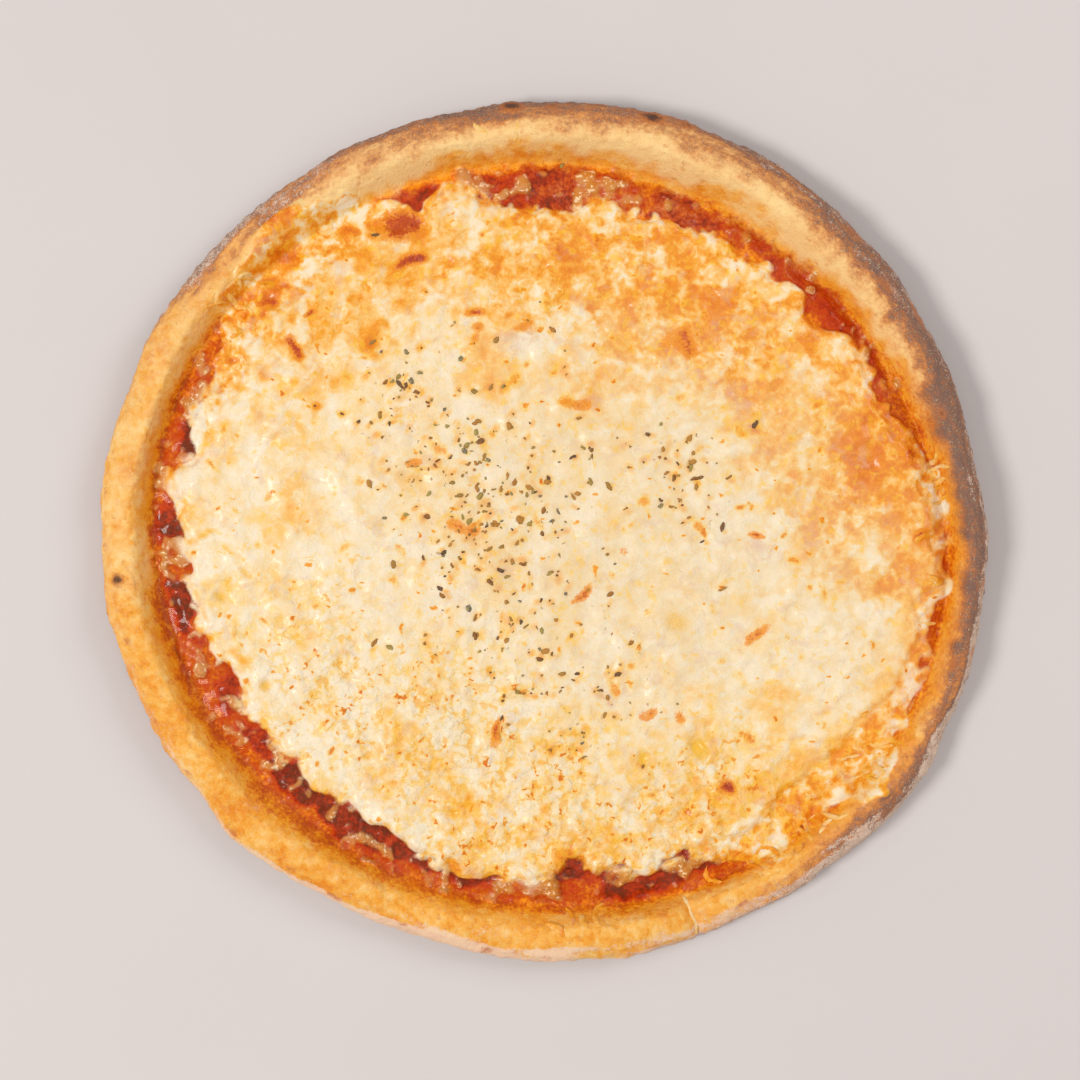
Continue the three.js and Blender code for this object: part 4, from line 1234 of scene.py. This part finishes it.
def cheese_finish():
    paint = Paint("melted cheese")
    warmth, mottle, curd, crevice = map(paint.mask, ("warmth", "mottle", "curd", "crevice"))
    thin, red, pit, cover = map(paint.mask, ("thin", "red", "pit", "cover"))
    pushed = paint.pushed(5, 3)
    cloud = paint.noise(10, 3, 0.55, pushed)
    patch = paint.noise(6, 2, 0.5, pushed)
    blotch = paint.noise(3.6, 4, 0.6, pushed)
    fine = paint.noise(0.8, 3, 0.6)
    far = paint.cells(2.6, paint.pushed(2.0, 1.3))["Distance"]  # from the middle of each small melted curd
    marks = orange_marks(paint, curd, blotch, fine, far)
    tone = warmth + (patch.step(0.36, 0.64) - 0.5) * mottle * 0.22 + (blotch - 0.5) * mottle * 0.7
    stroke = paint.noise(1.7, 3, 0.6, paint.pushed(3, 1.6))
    tone = tone + (cloud - 0.5) * mottle * 0.8 + (stroke - 0.5) * mottle * 0.5
    tone = tone + crevice * 0.15 + (fine - 0.5) * 0.2
    tone = tone - (tone - 0.6).at_least(0.0) * 0.5 + red * 0.3
    colour = paint.ramp(CHEESE_TONES, tone)
    # Milky streaks over shreds and strands: pale cheese, partly a painted highlight.
    milky_and_highlight = (blotch * 0.3 + stroke * 0.4 + fine * 0.3 + paint.mask("strand") * 0.3).step(0.5, 0.62)
    colour = paint.mix(colour, (0.92, 0.82, 0.64), milky_and_highlight * (1 - tone.step(0.1, 0.6)) * 0.5)
    yellow = paint.noise(12, 3, 0.6, paint.pushed(4, 3)).step(0.52, 0.68)
    yellow = yellow * (1 - tone.step(0.35, 0.6)) * (blotch.step(0.35, 0.65) * 0.4)
    colour = paint.mix(colour, (0.93, 0.6, 0.13), yellow)
    dull = paint.mask("dull") * (cloud * 0.6 + blotch * 0.4).step(0.3, 0.6)
    colour = paint.mix(colour, (0.78, 0.61, 0.37), dull * 0.6)
    shade = paint.noise(7, 3, 0.6, paint.pushed(6, 4)).step(0.56, 0.68) * 0.45
    mauve = (thin + (blotch - 0.5) * 1.8 + (fine - 0.5) * 0.5).step(0.35, 1.15).at_least(shade)
    colour = paint.mix(colour, (0.7, 0.46, 0.35), mauve * 0.65)
    oil = paint.mix((0.93, 0.58, 0.03), (0.85, 0.3, 0.002), marks.step(0.35, 1.0))
    colour = paint.mix(colour, oil, marks * 0.95)
    colour = paint.mix(colour, (0.66, 0.12, 0.004), marks.step(0.7, 1.0) * blotch.step(0.5, 0.62) * 0.7)
    bare = red + (fine - 0.5) * 0.9 + (blotch - 0.5) * 0.8
    colour = paint.mix(colour, (0.82, 0.27, 0.01), (red.step(0.02, 0.2) * (bare + 0.2)).step(0.25, 0.6) * 0.8)
    colour = paint.mix(colour, (0.5, 0.05, 0.004), bare.step(0.5, 0.85) * 0.9)
    colour = paint.mix(colour, (0.24, 0.01, 0.002), bare.step(0.85, 1.15) * 0.8)
    dust = paint.flecks(2.2, 0.22, 0.25, paint.pushed(1.5, 0.9)) * paint.mask("herb")
    colour = paint.mix(colour, (0.36, 0.17, 0.035), dust * 0.85)
    colour = paint.mix(colour, (0.84, 0.47, 0.03), (pit + (fine - 0.5) * 0.3).step(0.05, 0.9) * 0.9)
    # Cream streaks on the soft lumps: pale cheese, partly painted highlight along their ridges.
    ridge = paint.noise(1.5, 2, 0.5, paint.pushed(2, 1)).step(0.54, 0.66)
    lump = paint.mix((0.58, 0.2, 0.02), (0.94, 0.72, 0.44), ridge)
    colour = paint.mix(colour, lump, paint.mask("lump") * 0.9)
    below, _, _ = rim_colour(paint, paint.noise(4, 4, 0.6), paint.noise(1.2, 3, 0.6))
    covering = (cover + (fine - 0.5) * 0.4 + (blotch - 0.5) * 0.8).step(0.1, 0.8)
    colour = paint.mix(below, colour, covering)
    wet = tone.step(0.25, 0.75)
    roughness = 0.46 - wet * 0.18 + (fine - 0.5) * 0.3
    relief = fine * 0.3 + blotch * 0.6 - far * curd * 0.7
    coat = {"Coat_Weight": wet * 0.2 + 0.16, "Coat_Roughness": 0.14}
    glow = {"Subsurface_Weight": 0.18, "Subsurface_Radius": (0.0035, 0.002, 0.001), "Subsurface_Scale": 0.5}
    return paint.finish(colour, roughness, relief, 0.9, **coat, **glow, Specular_IOR_Level=0.25)


def build_cheese(charts):
    def limit(angle):
        wide = cheese_radius(angle) + size_at(FILM_REACH, angle) + LAYER_MARGIN
        return np.maximum(np.minimum(wide, crest_radius(angle) + 3), sauce_radius(angle) + LAYER_MARGIN)

    masks = cheese_colours(charts)
    piece = layer_mesh("cheese_sheet", limit, charts["cheese"], charts["floor"], masks)
    piece.data.materials.append(cheese_finish())
    return piece


# ---------------------------------------------------------------- strewn shreds and herbs


def make_points(name, places, masks):
    """A mesh of loose points above the pizza that carry numbers, for a tree to work on."""
    points = np.column_stack([places, np.zeros(len(places))])
    return make_mesh(name, points, [], {mask: np.array(values) for mask, values in masks.items()})


# Patches of shreds on the rim: [angle, spread of angle, lowest and highest radius, count, warmth].
RIM_SHREDS = [
    [321, 12, 117, 130, 14, 0.42], [302, 6, 119, 128, 5, 0.5], [138, 14, 115, 128, 8, 0.45],
    [352, 12, 120, 128, 5, 0.36], [8, 9, 120, 127, 4, 0.4], [275, 8, 121, 128, 4, 0.5],
]
# Lone shreds: [angle, radius, turn, length, warmth].
LONE_SHREDS = [[94, 126, 94, 7, 0.4], [290.5, 130, 287, 13, 0.3], [99, 128, 130, 6, 0.42]]


def build_shreds(tree, supports, material):
    rng = np.random.default_rng(71)
    places, rows = [], []
    for middle, spread, low, high, count, warmth in RIM_SHREDS:
        for _ in range(count):
            angle, radius = rng.normal(middle, spread * 0.6), rng.uniform(low, high)
            places.append(place_at(radius, angle))
            turn = math.radians(angle) + rng.normal(0.3, 0.9)
            size = rng.uniform(4, 9), rng.uniform(1.5, 2.6)
            rows.append([turn, *size, rng.normal(0, 1.4), rng.normal(warmth, 0.1)])
    for angle, radius, turn, length, warmth in LONE_SHREDS:
        places.append(place_at(radius, angle))
        rows.append([math.radians(turn), length, 2.0, 0.8, warmth])
    turn, length, width, bend, warmth = np.array(rows).T
    masks = {"turn": turn, "length": length * MM, "width": width * MM, "bend": bend * MM, "warmth": warmth,
             "mottle": 0.6 + 0 * turn, "cover": 1 + 0 * turn}
    points = make_points("melted_shreds", places, masks)
    shape = {"Flatness": 0.42, "Lift": -0.3, "Wobble": 4 * MM}
    settings = {**dict(zip(SUPPORTS, supports)), **shape, "Material": material}
    return baked(points, tree, settings)


# Clusters of herb flakes: [x, y, spread, count].
HERB_CLUSTERS = [
    [-14, 2, 26, 160], [44, 20, 15, 46], [-42, 42, 18, 44], [12, -48, 20, 54], [-28, 22, 18, 50],
    [-16, -30, 18, 40], [0, 55, 44, 20],
]
# Lone flakes: [x, y, turn in radians, length].
LONE_FLAKES = [
    [-55, 60, 0.6, 3.2], [-46, 46.7, -0.9, 3.4], [20, 14.7, -1.0, 4.0], [56, 1.6, 1.3, 3.6],
    [56, -18, 0.4, 3.0], [5, -45, 0.2, 3.4], [23, -45, 0.5, 3.0], [19, -58, 1.0, 2.6], [-54, -35, 0.9, 3.2],
    [-15, 2.2, 0.3, 2.6], [-33, -18, -0.4, 3.0], [8.6, 23.7, 0.5, 2.6], [48, 17, 0.2, 4.2],
    [-54, 94, 0.3, 3.0],
]


# Dried leaf, from black-brown through tan and olive to grey.
HERB_TONES = [
    (0.0, (0.13, 0.08, 0.05)), (0.2, (0.3, 0.13, 0.035)), (0.45, (0.52, 0.24, 0.05)),
    (0.66, (0.33, 0.19, 0.05)), (0.86, (0.42, 0.32, 0.09)), (1.0, (0.19, 0.16, 0.13)),
]


def herb_finish():
    paint = Paint("dried herbs")
    colour = paint.ramp(HERB_TONES, paint.mask("tone") + (paint.noise(0.7, 2) - 0.5) * 0.5)
    return paint.finish(colour, 0.75, paint.noise(0.4, 2), 0.2, Specular_IOR_Level=0.2)


def herb_numbers():
    """The flakes' places, and their turns, lengths, widths, tilts and tones."""
    rng = np.random.default_rng(81)
    places, rows = [], []
    for x, y, spread, count in HERB_CLUSTERS:
        for _ in range(count):
            places.append(near(rng, x, y, spread))
            length = 0.8 + 2.4 * rng.random() ** 2.2
            width = 0.35 + length * rng.uniform(0.2, 0.55)
            rows.append([rng.uniform(0, 6.28), length, width, rng.normal(0, 0.2), rng.uniform(0, 1)])
    for x, y, turn, length in LONE_FLAKES:
        places.append([x, y])
        rows.append([turn, length, 1.3, rng.normal(0, 0.2), rng.uniform(0, 0.7)])
    return places, np.array(rows)


def build_herbs(tree, supports):
    places, rows = herb_numbers()
    turn, length, width, tilt, tone = rows.T
    masks = {"turn": turn, "length": length * MM, "width": width * MM, "tilt": tilt, "tone": tone}
    points = make_points("herb_flakes", places, masks)
    settings = {**dict(zip(SUPPORTS, supports)), "Crumble": 1.2 * MM, "Material": herb_finish()}
    return baked(points, tree, settings)


# ---------------------------------------------------------------- the room


FLOOR_GAP = 0.00005  # keeps the floor off the flat underside, in metres
FLOOR_HALF = 3


def build_stage():
    paint = Paint("pale floor")
    colour = paint.mix((0.62, 0.575, 0.57), (0.64, 0.595, 0.59), paint.noise(60, 2))
    mesh = bpy.data.meshes.new("floor")
    corners = [(FLOOR_HALF * x, FLOOR_HALF * y, -FLOOR_GAP) for x, y in ((-1, -1), (1, -1), (1, 1), (-1, 1))]
    mesh.from_pydata(corners, [], [[0, 1, 2, 3]])
    mesh.materials.append(paint.finish(colour, 0.6))
    floor = bpy.data.objects.new("floor", mesh)
    bpy.context.scene.collection.objects.link(floor)


def add_lamp(name, place, size, watts, colour):
    data = bpy.data.lights.new(name, "AREA")
    data.shape, data.size, data.energy, data.color = "DISK", size, watts, colour
    lamp = bpy.data.objects.new(name, data)
    bpy.context.scene.collection.objects.link(lamp)
    lamp.location = place
    lamp.rotation_euler = (-lamp.location).to_track_quat("-Z", "Y").to_euler()


CAMERA_DISTANCE = 0.82
FRAME_WIDTH = 0.3456  # width of the floor that the picture shows, in metres
FRAME_MIDDLE = (-0.0011, -0.0024)
SENSOR = 36


def build_camera():
    data = bpy.data.cameras.new("camera")
    data.sensor_width = SENSOR
    data.lens = SENSOR * CAMERA_DISTANCE / FRAME_WIDTH
    data.clip_start = 0.01
    camera = bpy.data.objects.new("camera", data)
    bpy.context.scene.collection.objects.link(camera)
    camera.location = (*FRAME_MIDDLE, CAMERA_DISTANCE)
    bpy.context.scene.camera = camera


def build_light():
    world = bpy.data.worlds.new("studio")
    bpy.context.scene.world = world
    world.use_nodes = True
    world.node_tree.nodes["Background"].inputs["Color"].default_value = (1, 0.985, 0.97, 1)
    world.node_tree.nodes["Background"].inputs["Strength"].default_value = 0.5
    add_lamp("key", (-1.8, -0.5, 2.35), 0.9, 52, (1, 0.97, 0.93))
    add_lamp("fill", (1.3, 0.7, 1.2), 1.0, 11, (1, 0.97, 0.94))
    bpy.context.scene.view_settings.view_transform = "Standard"


# ---------------------------------------------------------------- putting it together


def keep(piece, node):
    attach(piece, BODY)
    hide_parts(node)


build_camera()
build_light()
build_stage()
charts = surface_charts()
crust = build_crust(relief_tree(), charts)
sauce = build_sauce(charts)
cheese = build_cheese(charts)
supports = (crust, sauce, cheese)
shreds = build_shreds(shred_tree(), supports, cheese.data.materials[0])
herbs = build_herbs(flake_tree(), supports)
keep(crust, "crust")
keep(sauce, "tomato_sauce")
keep(cheese, "melted_cheese")
keep(shreds, "melted_cheese")
keep(herbs, "melted_cheese")
